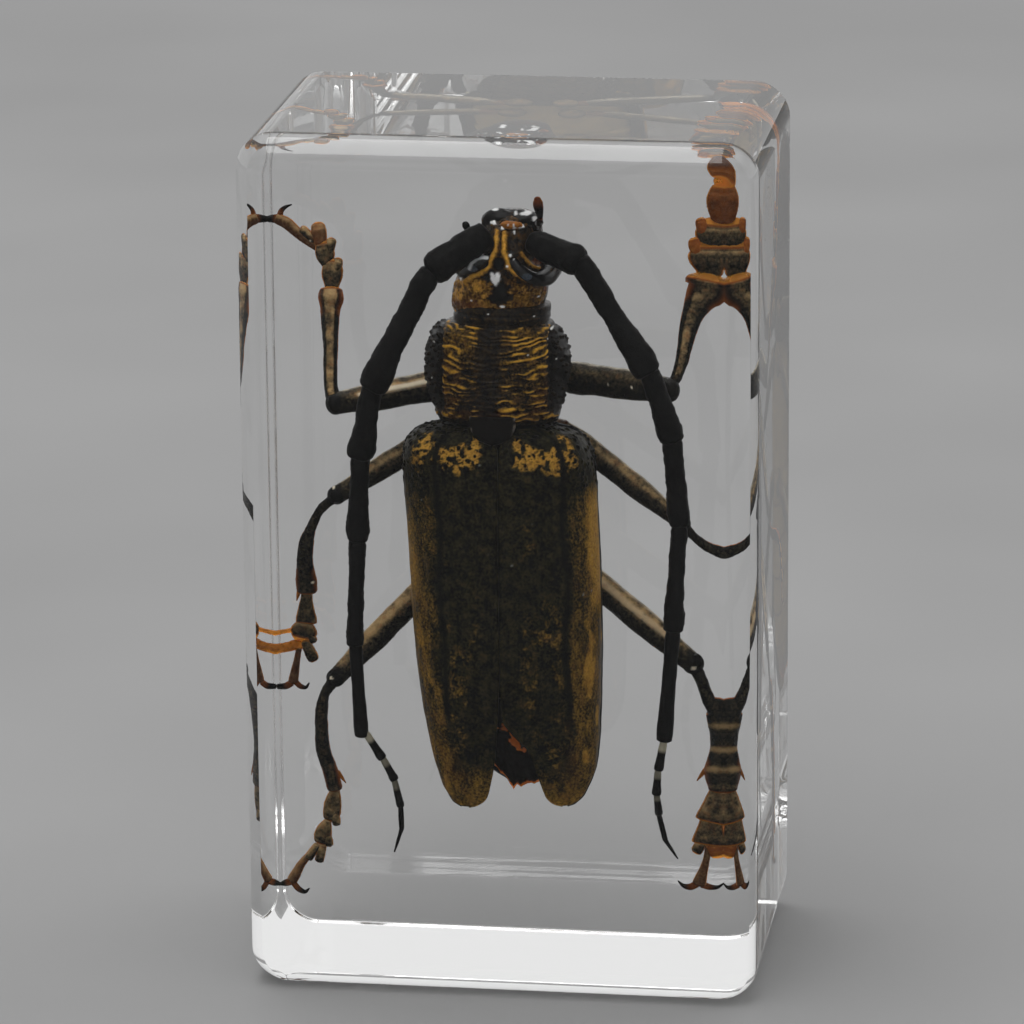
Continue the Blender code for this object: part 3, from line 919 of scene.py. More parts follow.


# --------------------------------------------------------------------------------------- the beetle


# The near-white pale of the shield, head, eye and leg shells paints highlights: white flecks where the shell
# would catch the light.
SHIELD_SHELL = Chitin(
    name="pronotum chitin with golden down", dark="#060505", brown="#2C2110",
    down_deep="#5A4212", down_light="#DCA636", pale="#F2F0EA", gloss=0.24, dull=0.42, ior=1.2, mottle_mm=0.7,
    hair_mm=0.2)
HEAD_SHELL = Chitin(
    name="head chitin with golden down", dark="#080706", brown="#3A280F",
    down_deep="#6A460E", down_light="#E8AC42", pale="#FFFFFF", gloss=0.16, dull=0.34, ior=1.25,
    mottle_mm=0.6, hair_mm=0.2)
WING_SHELL = Chitin(
    name="wing-case chitin with olive down", dark="#060605", brown="#322E1A",
    down_deep="#3E3616", down_light="#C8963C", amber_deep="#663C1C", pale="#9A9C92", gloss=0.34, dull=0.5,
    ior=1.15, mottle_mm=0.9, hair_mm=0.22)
BELLY_SHELL = Chitin(
    name="belly chitin with grey-gold down", dark="#0C0805", brown="#3E2614",
    down_deep="#5E4C2E", down_light="#A08A5C", amber_light="#FF8A28", pale="#E8E4DA", gloss=0.36, ior=1.2)
LEG_SHELL = Chitin(
    name="leg chitin with pale down", dark="#080807", brown="#3C3628",
    down_deep="#4A412C", down_light="#BC9C6C", amber_deep="#8A4A1C", amber_light="#FFA838", pale="#F8ECD2",
    gloss=0.24, dull=0.46, ior=1.2, mottle_mm=0.55, hair_mm=0.22, patchiness=0.6)
FEELER_SHELL = Chitin(
    name="feeler chitin, dull black", dark="#080808", brown="#1A1A18",
    down_deep="#191918", down_light="#2C2B28", pale="#A8A28E", gloss=0.46, dull=0.62, ior=1.15,
    mottle_mm=0.5, hair_mm=0.16)
EYE_SHELL = Chitin(
    name="eye facets, polished black", dark="#030304", brown="#0A0C10",
    down_deep="#2A3440", down_light="#4A5A68", pale="#F4F8FA", gloss=0.1, dull=0.2, ior=1.5, mottle_mm=0.3,
    hair_mm=0.12, relief_mm=0.012, shine=0.5)


def spot(x: Array, z: Array, centre: tuple[float, float], reach: tuple[float, float]) -> Array:
    """A soft-edged oval patch round a centre, by its half width and height: 1 inside, 0 outside."""
    return smooth_step(1.2, 0.75, np.hypot((x - centre[0]) / reach[0], (z - centre[1]) / reach[1]))


def distance(x: Array, z: Array, line: tuple) -> Array:
    """How far each point lies from a broken line, seen from the front.

    Args:
        x: the points' x in millimetres.
        z: the points' z in millimetres.
        line: the line's corners as (x, z).

    Returns:
        The distances in millimetres.
    """
    least = np.full(x.shape, 99.0)
    for (x0, z0), (x1, z1) in zip(line, line[1:]):
        share = ((x - x0) * (x1 - x0) + (z - z0) * (z1 - z0)) / ((x1 - x0) ** 2 + (z1 - z0) ** 2)
        share = np.clip(share, 0.0, 1.0)
        least = np.minimum(least, np.hypot(x - x0 - share * (x1 - x0), z - z0 - share * (z1 - z0)))
    return least


@dataclass
class WingCase:
    """One wing case: a thin arched shell from the seam round to the turned-in margin, blunt at its tip.

    Attributes:
        side: which side it covers.
        node: the CAD node that it stands for.
        rows: z, x at the seam, x at the margin, the seam's height and the margin's, from base to tip.
        stripe: where its dark lengthwise stripe lies, from seam to margin.
        band: how golden the band beside its margin is.
        band_top: the height at which that band starts, in millimetres.
    """

    side: Side
    node: str
    rows: list
    stripe: float
    band: float
    band_top: float
    steps: int = 420
    columns: int = 112
    turned_in: float = 100.0
    boxiness: float = 0.86
    thickness: float = 0.32
    granule_mm: float = 0.52
    granule_height: float = 0.16

    def arch(self) -> tuple[Array, Array, Array]:
        """The smooth outer surface.

        In each row x runs from the seam to the margin as a power of the angle's sine, and y falls from the
        seam's height to the margin's as the same power of its cosine. The columns are spread evenly.

        Returns:
            The points, the angle of each in degrees, and how far it lies from seam to margin, 0 to 1.
        """
        table = np.asarray(self.rows, float)[::-1]
        heights = cosine_run(table[-1, 0], table[0, 0], self.steps)
        seam, margin, rise, lift = run_through(table[:, 1:], table[:, 0], heights).T
        fine = np.radians(np.linspace(0.0, self.turned_in, 400))
        level = np.sign(np.cos(fine)) * np.abs(np.cos(fine)) ** self.boxiness
        spread = np.sin(fine) ** self.boxiness
        width = np.abs(margin - seam).mean()
        length = np.concatenate([[0.0], np.cumsum(np.hypot(np.diff(spread * width),
                                                           np.diff(level * rise.mean())))])
        even = np.linspace(0.0, length[-1], self.columns)
        spread, level = np.interp(even, length, spread), np.interp(even, length, level)
        angle = np.degrees(np.interp(even, length, fine))
        x = seam[:, None] + (margin - seam)[:, None] * spread
        y = -(lift[:, None] + (rise - lift)[:, None] * level)
        points = np.stack([x, y, np.repeat(heights[:, None], self.columns, 1)], axis=-1)
        return points, np.repeat(angle[None], self.steps, 0), np.repeat(spread[None], self.steps, 0)

    def relief(self, points: Array, angle: Array, share: Array) -> tuple[Array, Array]:
        """The heights of what stands on the smooth arch.

        Round shiny granules crowd the base and thin out below it. Three faint ribs run down the case, the
        seam and the margin are beaded, the shoulder bulges, and shallow wrinkles cover the rest.

        Args:
            points: the arch's points.
            angle: their angles in degrees.
            share: how far each lies from seam to margin.

        Returns:
            The heights in millimetres, and how much of a granule's top each point is.
        """
        z = points[..., 2]
        near, _, number = grains(points, self.granule_mm, 11)
        crowd = smooth_step(40.5, 44.5, z + 1.6 * (cloud(points, 1.3, 5) - 0.5))
        granule = np.clip(1.0 - (near / 0.46) ** 2, 0.0, 1.0) * (number < 0.2 + 0.6 * crowd) * crowd
        height = self.granule_height * granule
        height += 0.1 * (cloud(points * np.array([1.0, 1.0, 0.5]), 0.7, 23, 2) - 0.5)
        height += 0.2 * (cloud(points, 3.2, 31, 2) - 0.5)
        fade = smooth_step(15.0, 24.0, z) * smooth_step(45.5, 40.0, z)
        for rib in (0.3, 0.52, 0.74):
            height += 0.08 * bump_at(share, rib, 0.035) * fade
        height += 0.12 * bump_at(share, 0.015, 0.02)
        height += 0.13 * smooth_step(self.turned_in - 7.0, self.turned_in - 2.0, angle)
        height += 0.55 * bump_at(share, 0.83, 0.14) * bump_at(z, 45.2, 1.5)
        return height, granule

    def skin(self) -> Skin:
        """The whole case: its worked surface, a smooth inner one, and the paint."""
        points, angle, share = self.arch()
        along = np.gradient(points, axis=0)
        across = np.gradient(points, axis=1)
        normal = unit(np.cross(along, across))
        normal *= np.sign(-normal[self.steps // 2, 2, 1])
        height, granule = self.relief(points, angle, share)
        border = np.minimum(smooth_step(0.0, 0.03, share),
                            smooth_step(self.turned_in, self.turned_in - 5.0, angle))
        under = points - normal * (self.thickness * (0.4 + 0.6 * border))[..., None]
        top = points + normal * height[..., None]
        return thick_sheet(top, under, self.paint(points, angle, share, granule))

    def base_down(self, points: Array, share: Array, granule: Array) -> Array:
        """The fluffy golden patches near the base: knots of down, broken by bare dark gaps and granules.

        Args:
            points: the arch's points.
            share: how far each lies from seam to margin.
            granule: how much of a granule's top each point is.

        Returns:
            How much down lies on each point, from 0 to 1.
        """
        z = points[..., 2]
        ragged = cloud(points, 0.9, 41, 2)
        top = 46.4 + 0.5 * np.sin(share * 9.0)
        patch = smooth_step(43.3, 44.8, z + 2.0 * (ragged - 0.5)) * smooth_step(top + 0.4, top - 0.2, z)
        patch *= smooth_step(0.1, 0.2, share + 0.1 * (ragged - 0.5)) * smooth_step(0.92, 0.8, share)
        knots, edge, _ = grains(points, 0.4, 47)
        strand = smooth_step(0.5, 0.1, np.minimum(knots, (edge - knots) * 1.6))
        gap = smooth_step(0.48, 0.66, cloud(points, 0.5, 49, 3))
        return patch * (1.0 - 0.4 * granule) * (1.0 - 0.85 * gap) * (0.5 + 0.6 * strand)

    def paint(self, points: Array, angle: Array, share: Array, granule: Array) -> dict[Paint, Array]:
        """Where down lies.

        It lies in the fluffy patches near the base, in a bright strip along the margin, in ragged streaks
        beside it, in faint mottles on the back, and over the tip. The dark stripe and the rim stay bare.

        Args:
            points: the arch's points.
            angle: their angles in degrees.
            share: how far each lies from seam to margin.
            granule: how much of a granule's top each point is.

        Returns:
            The paint.
        """
        z = points[..., 2]
        streaky = points * np.array([1.0, 1.0, 0.4])
        ragged = cloud(points, 0.9, 41, 2)
        streak = cloud(streaky, 0.55, 51, 3)
        blotch = cloud(points * np.array([1.0, 1.0, 0.55]), 1.9, 53, 2)
        low = smooth_step(34.0, 26.0, z)
        ragged_share = share + 0.1 * (blotch - 0.5) + 0.06 * (ragged - 0.5)
        edge = smooth_step(0.78 - 0.16 * low, 0.97 - 0.1 * low, ragged_share)
        strip = edge * smooth_step(self.band_top, self.band_top - 4.0, z) * (self.band + 0.3 * (streak - 0.5))
        strip *= 1.0 - 0.8 * smooth_step(35.0, 28.0, z) * smooth_step(0.28, 0.52, cloud(streaky, 1.3, 56, 3))
        side = smooth_step(0.5, 0.8, share + 0.3 * (blotch - 0.5)) * smooth_step(44.5, 40.0, z)
        side *= 0.15 + 0.45 * streak + 0.08 * low
        fine = cloud(points, 0.5, 55, 2)
        back = smooth_step(0.06, 0.3, share) * smooth_step(43.5, 38.0, z) * smooth_step(0.42, 0.62, blotch)
        back *= 0.12 + 0.5 * streak * smooth_step(0.35, 0.65, fine)
        tip = smooth_step(20.5, 15.5, z + 2.5 * (blotch - 0.5)) * (0.3 + 0.45 * streak)
        outer_tip = smooth_step(27.0, 19.0, z) * smooth_step(0.4, 0.85, share) * (0.25 + 0.45 * streak)
        dark = bump_at(share, self.stripe + 0.02 * np.sin(z * 0.6), 0.03) * smooth_step(20.0, 24.0, z)
        down = np.maximum.reduce([self.base_down(points, share, granule), strip, side,
                                  back, tip, outer_tip]) * (1.0 - 0.75 * dark)
        rim = smooth_step(self.turned_in - 9.0, self.turned_in - 5.0, angle)
        bare = np.maximum.reduce([rim, granule, 0.8 * dark])
        near, _, number = grains(points, 1.5, 57)
        speck = smooth_step(0.1, 0.05, near) * (number < 0.22) * 0.5
        copper = cloud(points, 1.6, 59, 3) * smooth_step(0.6, 0.9, share + 0.5 * smooth_step(24.0, 15.0, z))
        return {Paint.DOWN: np.clip(down * (1.0 - rim), 0.0, 1.0), Paint.BARE: np.clip(bare, 0.0, 1.0),
                Paint.PALE: np.clip(speck, 0.0, 1.0),
                Paint.AMBER: 0.34 * copper * streak * (1.0 - rim) * smooth_step(42.0, 34.0, z)}

    def build(self) -> None:
        """Make the case and let it stand for its CAD node."""
        settle(make_piece(f"wing_case_{self.side.name.lower()}", self.skin(), WING_SHELL.material()),
               Slot.WING, self.node)


@dataclass
class NeckShield:
    """The pronotum: a collar, a transversely wrinkled disc, and a black granulate bulge on each side."""

    rows: tuple = (
        (47.9, -0.95, 4.95, 4.1, 3.9), (48.3, -0.95, 5.1, 4.45, 4.4), (49.3, -1.0, 5.3, 4.65, 4.6),
        (50.8, -1.1, 5.75, 4.7, 4.8), (52.9, -1.0, 5.95, 4.7, 4.9), (54.6, -0.95, 5.6, 4.6, 4.8),
        (55.7, -0.95, 4.95, 4.4, 4.5), (56.25, -0.7, 4.25, 4.1, 4.2), (57.0, -0.55, 3.9, 3.9, 3.9),
        (57.6, -0.5, 3.85, 3.7, 3.7), (57.8, -0.5, 3.6, 3.4, 3.4))
    middle_x: float = -0.95
    wrinkle_mm: float = 0.47
    wrinkle_height: float = 0.15
    granule_mm: float = 0.5
    granule_height: float = 0.26
    sparkles: tuple = ((3.7, 55.9, 0.12), (3.45, 55.2, 0.09), (5.1, 54.4, 0.1), (5.35, 53.8, 0.12),
                       (5.45, 53.1, 0.09), (4.15, 53.5, 0.08), (-5.9, 54.6, 0.09), (-1.4, 57.3, 0.08),
                       (2.3, 57.1, 0.1), (-6.2, 51.6, 0.07), (1.9, 54.0, 0.08))

    def wave(self, points: Array, x: Array, z: Array) -> Array:
        """The wrinkles: a wave in z whose phase wanders so far that crests bend, fork and run out.

        Args:
            points: the shield's points.
            x: their distance from the shield's middle.
            z: their heights.

        Returns:
            1 on a crest and 0 in a groove.
        """
        sag = 0.05 * x ** 2 * smooth_step(49.5, 55.0, z)
        wide = points * np.array([0.55, 1.0, 1.1])
        wander = 0.8 * (cloud(wide, 1.5, 61, 2) - 0.5) + 0.4 * (cloud(wide, 0.5, 63) - 0.5)
        wave = 0.5 + 0.5 * np.sin(2.0 * math.pi * (z - sag + wander) / self.wrinkle_mm)
        broken = smooth_step(0.35, 0.6, cloud(wide, 0.6, 65, 2))
        return wave * (0.35 + 0.65 * broken)

    def gold(self, x: Array, z: Array, wave: Array, streak: Array) -> Array:
        """How golden the disc's crests are: bright on both shoulders, orange low at the left, dim elsewhere.

        Args:
            x: the points' x.
            z: their heights.
            wave: 1 on a crest and 0 in a groove.
            streak: soft noise from 0 to 1.

        Returns:
            How much down lies on each point, from 0 to 1.
        """
        left = spot(x, z, (-3.7, 55.2), (2.0, 1.9))
        right = spot(x, z, (2.3, 54.7), (1.9, 2.3))
        low_left = spot(x, z, (-4.8, 51.2), (1.5, 3.2))
        low_right = spot(x, z, (1.6, 50.4), (2.6, 2.6))
        base = smooth_step(49.6, 48.8, z) * 0.5
        strength = np.maximum.reduce([left, 0.8 * right, 0.55 * low_left, 0.5 * low_right, base])
        middle = smooth_step(1.2, 0.5, np.abs(x + 1.4)) * smooth_step(57.0, 55.6, z)
        strength = (0.38 + 0.75 * strength) * (1.0 - 0.8 * middle)
        return strength * (0.28 + 0.85 * wave ** 2.5) * (0.4 + 1.3 * streak)

    def skin(self) -> Skin:
        """The shield: ovals stacked up the body, with wrinkles over the disc and granules on the sides."""
        grid = stacked(self.rows, cosine_run(self.rows[0][0], self.rows[-1][0], 290), 260, 0.86)
        x, z = grid.x_and_z()
        out = x - self.middle_x
        face = np.sin(grid.turn)
        disc = smooth_step(0.0, 0.25, face) * smooth_step(48.0, 48.6, z) * smooth_step(56.5, 56.0, z)
        wave = self.wave(grid.points, out, z)
        aside = np.abs(out - 0.1)
        flank = smooth_step(4.1, 4.6, aside) * smooth_step(48.6, 49.4, z) * smooth_step(56.4, 55.8, z)
        granule = beads(grid.points, self.granule_mm, 67) * flank
        collar = smooth_step(56.3, 56.6, z)
        fine = 0.5 + 0.5 * np.sin(2.0 * math.pi * (z + 0.25 * (cloud(grid.points, 1.2, 69) - 0.5)) / 0.42)
        disc_edge = bump_at(aside, 4.05, 0.28) * smooth_step(49.5, 51.0, z) * smooth_step(56.3, 55.6, z)
        height = (self.wrinkle_height * wave * disc * (1.0 - flank) + 0.05 * fine * collar
                  + self.granule_height * granule + 0.12 * disc_edge * (face > 0.0)
                  + 0.06 * bump_at(z, 57.6, 0.12)
                  + 0.22 * (cloud(grid.points, 2.4, 71, 2) - 0.5) * (face > 0.0))
        height -= 0.2 * bump_at(z, 56.4, 0.16) + 0.25 * bump_at(aside, 4.5, 0.16) * flank
        grid.raised(height)
        streak = cloud(grid.points * np.array([0.6, 1.0, 1.0]), 0.35, 73, 2)
        gold = self.gold(x, z, wave, streak) * disc * (1.0 - flank)
        gold = np.maximum(gold, 0.4 * collar * fine ** 3 * streak * smooth_step(0.2, 0.5, face))
        gold = np.maximum(gold, 0.5 * disc_edge * streak * (face > 0.0))
        rust = spot(x, z, (-4.9, 51.2), (1.4, 3.0)) + spot(x, z, (3.2, 50.2), (1.1, 1.8)) + (z < 49.2)
        glint = sum(smooth_step(radius, radius * 0.5, np.hypot(x - at_x, z - at_z))
                    for at_x, at_z, radius in self.sparkles)
        gold = np.maximum(gold, 0.3 * granule * flank * streak)
        return grid.painted(down=gold, bare=0.8 * flank * (1.0 - granule), pale=glint * (face > 0.0),
                            amber=0.2 * np.clip(rust, 0.0, 1.0) * disc * streak * (1.0 - flank)).closed()

    def build(self) -> None:
        """Make the shield and let it stand for its CAD node."""
        settle(make_piece("neck_shield", self.skin(), SHIELD_SHELL.material()), Slot.SHIELD, "pronotum")


@dataclass
class HindBody:
    """The rear thorax and the abdomen: hidden under the wing cases, plated and downy on the belly."""

    rows: tuple = (
        (16.4, 0.7, 0.9, 1.2, 1.0), (17.2, 0.6, 2.1, 1.7, 1.9), (18.3, 0.45, 3.2, 2.2, 2.7),
        (21.0, 0.1, 5.2, 3.1, 3.7), (26.0, -0.2, 6.3, 3.9, 4.4), (32.0, -0.5, 6.6, 4.2, 5.0),
        (39.0, -0.8, 6.7, 4.3, 5.3), (44.5, -1.0, 6.2, 4.0, 5.1), (46.6, -1.0, 4.9, 3.4, 4.3),
        (48.2, -1.0, 3.0, 2.6, 3.6))
    plate_ends: tuple = (33.6, 30.2, 26.8, 23.4, 20.2)
    middle_x: float = -0.7
    tail_edge: tuple = ((-2.0, 19.0), (-1.1, 18.1), (-0.75, 17.6), (-0.4, 17.3), (0.0, 16.7), (0.3, 16.2),
                        (0.6, 16.6), (0.95, 16.45), (1.6, 16.75), (2.3, 16.8), (3.2, 17.2))

    def skin(self) -> Skin:
        """The trunk: stacked ovals whose belly steps out at each plate's rear edge."""
        grid = stacked(self.rows, cosine_run(self.rows[0][0], self.rows[-1][0], 260), 180, 0.9)
        x, z = grid.points[..., 0] - self.middle_x, grid.points[..., 2]
        belly = smooth_step(0.15, -0.25, np.sin(grid.turn))
        step = np.zeros_like(z)
        seam = np.zeros_like(z)
        for end in self.plate_ends:
            place = z - end - 0.015 * x ** 2
            step += 0.26 * smooth_step(-0.12, 0.06, place) * smooth_step(3.2, 0.1, place)
            seam = np.maximum(seam, bump_at(place, 0.0, 0.14))
        chest = smooth_step(36.5, 37.5, z) * belly
        furrow = bump_at(x, 0.0, 0.25) * chest
        hollow = bump_at(z, 36.2, 0.5) * belly
        height = belly * step - 0.3 * furrow - 0.35 * hollow
        height -= 0.03 * beads(grid.points, 0.34, 83, 0.45)
        height += 0.2 * (cloud(grid.points, 2.2, 79, 2) - 0.5)
        grid.raised(height)
        down = belly * (0.45 + 0.35 * cloud(grid.points, 1.0, 89, 2)) * (1.0 - 0.8 * seam)
        tip = smooth_step(19.5, 17.0, z + 0.8 * (cloud(grid.points, 0.7, 97) - 0.5)) * belly
        return grid.painted(down=down * (1.0 - tip), amber=np.maximum(0.45 * seam * belly, 0.6 * tip),
                            bare=1.0 - belly).closed()

    def scutellum(self) -> Skin:
        """The small tongue-shaped plate between the bases of the wing cases, black with thin pale edges.

        Each row is as wide as half an ellipse of height 2.3 mm, and the plate is a little domed.
        """
        down_to, across = np.meshgrid(np.linspace(0.0, 1.0, 60), np.linspace(-1.0, 1.0, 50), indexing="ij")
        drop = np.sin(down_to * math.pi / 2.0)
        half = 1.9 * np.sqrt(np.clip(1.0 - drop ** 3, 0.02, 1.0))
        x, z = -1.05 + half * across, 48.7 - 2.3 * drop
        y = -4.55 - 0.45 * (1.0 - across ** 2) - 0.3 * smooth_step(48.7, 46.6, z)
        top = np.stack([x, y, z], axis=-1)
        rough = 0.05 * (cloud(top, 0.5, 101, 2) - 0.5)
        top = top - np.array([0.0, 1.0, 0.0]) * rough[..., None]
        edge = smooth_step(0.9, 0.97, np.abs(across)) * smooth_step(0.8, 0.3, drop) * smooth_step(
            0.3, 0.6, cloud(top, 0.35, 102))
        paint = {Paint.BARE: 1.0 - edge, Paint.DOWN: 0.5 * edge, Paint.PALE: 0.12 * edge}
        return thick_sheet(top, top + np.array([0.0, 1.2, 0.0]), paint)

    def tail(self) -> Skin:
        """The last back plate between the tips of the wing cases: torn, black, its torn edge glowing orange.

        The plate runs from under the wing cases down to a broken line, and leans back towards that line.
        """
        across, drop = np.meshgrid(np.linspace(0.0, 1.0, 150), np.linspace(0.0, 1.0, 130), indexing="ij")
        x = self.tail_edge[0][0] + across * (self.tail_edge[-1][0] - self.tail_edge[0][0])
        spots = np.stack([x, np.zeros_like(x), np.zeros_like(x)], axis=-1)
        edge = np.interp(x, *np.transpose(self.tail_edge)) + 0.28 * (cloud(spots, 0.3, 103, 2) - 0.5)
        z = 24.4 + (edge - 24.4) * drop
        y = -2.5 - 0.19 * (z - 16.0) - 0.25 * np.sin(across * math.pi)
        top = np.stack([x, y, z], axis=-1)
        top[..., 1] -= 0.5 * (cloud(top, 0.8, 105, 3) - 0.5)
        rim = smooth_step(0.34, 0.1, z - edge + 0.25 * (cloud(top, 0.35, 107) - 0.5))
        ragged = 2.4 * (cloud(top, 0.35, 109, 2) - 0.5)
        holes = np.maximum.reduce([
            smooth_step(1.1, 0.8, np.hypot((x - 0.1) / 0.95, (z - 21.6) / 0.35) + ragged),
            smooth_step(1.1, 0.8, distance(x, z, ((0.1, 21.6), (0.4, 20.6), (1.0, 19.9))) / 0.3 + ragged)])
        speck = spot(x, z, (0.5, 23.6), (0.16, 0.28))
        glow = np.clip(rim * (0.55 + 0.6 * cloud(top, 0.5, 111)) + holes * (0.65 + 0.3 * drop), 0.0, 1.0)
        return thick_sheet(top, top + np.array([0.0, 0.22, 0.0]), {
            Paint.AMBER: glow, Paint.BARE: 1.0 - glow, Paint.PALE: speck})

    def build(self) -> None:
        """Make the trunk with its scutellum, and its torn tip."""
        trunk = joined([self.skin(), self.scutellum(), self.tail()])
        settle(make_piece("hind_body_shell", trunk, BELLY_SHELL.material()), Slot.BELLY, "hind_body")


@dataclass
class Head:
    """The head with its eyes, brow ridges, feeler sockets, jaws and palps."""

    rows: tuple = (
        (56.6, -0.95, 3.4, 2.9, 3.0), (57.4, -0.95, 3.75, 3.4, 3.4), (58.6, -0.75, 3.95, 3.75, 3.6),
        (60.0, -0.5, 3.75, 4.0, 3.7), (61.5, -0.2, 3.2, 4.1, 3.7), (62.8, 0.15, 2.75, 3.9, 3.5),
        (63.9, 0.3, 2.5, 3.4, 3.2), (64.7, 0.35, 2.3, 2.8, 2.8), (65.2, 0.4, 1.9, 2.1, 2.2),
        (65.5, 0.4, 1.3, 1.3, 1.5))
    ridges: tuple = (
        ((-0.62, 64.1), (-0.62, 62.7), (-0.85, 62.2), (-1.22, 61.3), (-1.85, 60.75), (-2.7, 60.3),
         (-3.4, 59.75)),
        ((0.02, 64.0), (0.02, 62.6), (0.2, 62.0), (0.35, 61.3), (1.0, 60.75), (2.3, 60.0)))
    hoop: tuple = ((1.35, 62.5), (1.85, 61.7), (2.35, 61.15), (2.85, 60.95), (3.45, 61.2), (3.75, 61.6))
    eye_highlight_arc: tuple = ((-2.9, 61.1), (-2.7, 61.6), (-2.25, 62.0), (-1.8, 62.15), (-1.4, 62.1))
    glints: tuple = (
        (-1.0, 64.7, 0.26, 0.13), (-0.2, 64.45, 0.15, 0.18), (1.33, 64.55, 0.24, 0.14),
        (0.76, 64.15, 0.12, 0.12), (0.5, 62.3, 0.11, 0.17), (0.25, 61.45, 0.09, 0.1),
        (-4.0, 60.4, 0.22, 0.15), (-3.7, 60.0, 0.14, 0.18), (-0.2, 57.95, 0.2, 0.08),
        (2.6, 58.6, 0.08, 0.08), (-2.9, 58.3, 0.1, 0.07))
    jaw_highlights: tuple = ((-1.0, 65.75, 0.3, 0.14), (0.0, 65.9, 0.5, 0.08), (0.75, 65.5, 0.2, 0.14),
                        (1.6, 65.5, 0.45, 0.13), (2.3, 65.1, 0.16, 0.2))

    def glinting(self, points: Array, x: Array, z: Array) -> Array:
        """Painted highlights: ragged white flecks where the shell would catch the light.

        The large one behind the brow is heart-shaped: two lobes over a blunt point.

        Args:
            points: the head's points.
            x: their x.
            z: their heights.

        Returns:
            How much of a fleck each point is.
        """
        ragged_x = x + 0.16 * (cloud(points, 0.22, 133) - 0.5)
        ragged_z = z + 0.16 * (cloud(points, 0.22, 135) - 0.5)
        heart = np.maximum.reduce([spot(ragged_x, ragged_z, (-0.98, 60.45), (0.22, 0.42)),
                                   spot(ragged_x, ragged_z, (-0.52, 60.45), (0.22, 0.45)),
                                   spot(ragged_x, ragged_z, (-0.74, 60.1), (0.26, 0.42))])
        flecks = sum(spot(ragged_x, ragged_z, fleck[:2], fleck[2:]) for fleck in self.glints)
        arc = bump_at(distance(ragged_x, ragged_z, self.eye_highlight_arc), 0.0, 0.16)
        return np.clip(heart + flecks + smooth_step(0.45, 0.8, arc), 0.0, 1.0)

    def capsule(self) -> Skin:
        """The head's shell: stacked ovals, with golden ridges on the brow that part round a black pit."""
        grid = stacked(self.rows, cosine_run(self.rows[0][0], self.rows[-1][0], 230), 240, 0.92)
        x, z = grid.x_and_z()
        face = smooth_step(0.0, 0.3, np.sin(grid.turn))
        wander = 0.12 * (cloud(grid.points, 0.5, 137) - 0.5)
        ridge = np.maximum.reduce([bump_at(distance(x + wander, z, line), 0.0, 0.24)
                                   for line in self.ridges])
        hoop = bump_at(distance(x, z, self.hoop), 0.0, 0.17)
        pit = spot(x, z, (-0.45, 61.55), (0.42, 0.55))
        eye_hollow = spot(x, z, (-2.0, 61.6), (0.7, 0.5))
        glint = self.glinting(grid.points, x, z)
        lumps = cloud(grid.points, 0.55, 113, 3) - 0.5
        height = face * (0.26 * ridge + 0.24 * hoop - 0.25 * pit - 0.35 * eye_hollow + 0.08 * glint
                         + 0.34 * lumps)
        grid.raised(height)
        mottle = cloud(grid.points, 0.42, 127, 3)
        occiput = smooth_step(60.6, 59.8, z + 0.25 * x * (x > 0.0))
        blotches = smooth_step(0.42, 0.62, mottle) * occiput
        left = smooth_step(-1.1, -2.2, x)
        middle_dark = spot(x + 1.2 * (mottle - 0.5), z + 1.2 * (lumps * 0.8), (-0.35, 59.0), (0.7, 1.0))
        gold = np.maximum.reduce([
            ridge * (0.6 + 0.6 * mottle), hoop * (0.5 + 0.6 * mottle), occiput * (0.25 + 0.4 * mottle),
            blotches * (0.45 + 0.3 * left), 0.3 * smooth_step(0.5, 0.7, mottle)]) * (1.0 - 0.9 * middle_dark)
        socket_rim = distance(x, z, ((-3.1, 61.4), (-2.7, 62.2), (-1.9, 62.8)))
        rust = np.maximum.reduce([
            spot(x, z, (2.65, 61.65), (0.55, 0.35)), spot(x, z, (3.4, 59.3), (0.45, 0.5)),
            0.7 * bump_at(socket_rim, 0.0, 0.2), 0.6 * bump_at(z, 57.9, 0.5) * left])
        dark = np.maximum.reduce([pit, eye_hollow * (1.0 - ridge), middle_dark * (1.0 - ridge)])
        return grid.painted(down=face * gold * (1.0 - dark), bare=dark, pale=face * glint,
                            amber=face * rust * (0.35 + 0.3 * mottle)).closed()

    def eyes(self) -> Skin:
        """Kidney-shaped eyes: bars that bend round under each feeler's root, with a dull blue sheen below."""
        left = bar([(-1.5, -3.95, 62.05, 0.35, 0.3), (-2.1, -3.8, 61.6, 0.55, 0.5),
                    (-3.0, -3.05, 61.0, 0.62, 0.6), (-3.55, -1.9, 60.7, 0.7, 0.75),
                    (-3.5, -0.6, 60.9, 0.75, 0.7)], 40, 60)
        right = bar([(0.75, -4.0, 61.75, 0.42, 0.3), (1.4, -3.95, 61.05, 0.5, 0.45),
                     (2.35, -3.5, 60.4, 0.55, 0.6), (3.2, -2.5, 60.35, 0.8, 0.8),
                     (3.6, -1.1, 60.9, 0.95, 0.8)], 40, 60)
        skins = []
        for grid, sheen in ((left, (-2.6, 61.1)), (right, (1.9, 60.6))):
            x, z = grid.x_and_z()
            facing = grid.normals()[..., 1] < 0.0
            # Painted sheen and highlight: a dull blue patch below each eye, and a white arc over the left
            # eye's rim.
            blue = spot(x, z, sheen, (0.5, 0.35)) * facing
            arc = smooth_step(0.2, 0.08, distance(x, z, self.eye_highlight_arc)) * facing
            skins.append(grid.painted(bare=1.0 - blue, down=0.6 * blue, pale=arc).closed())
        return joined(skins)

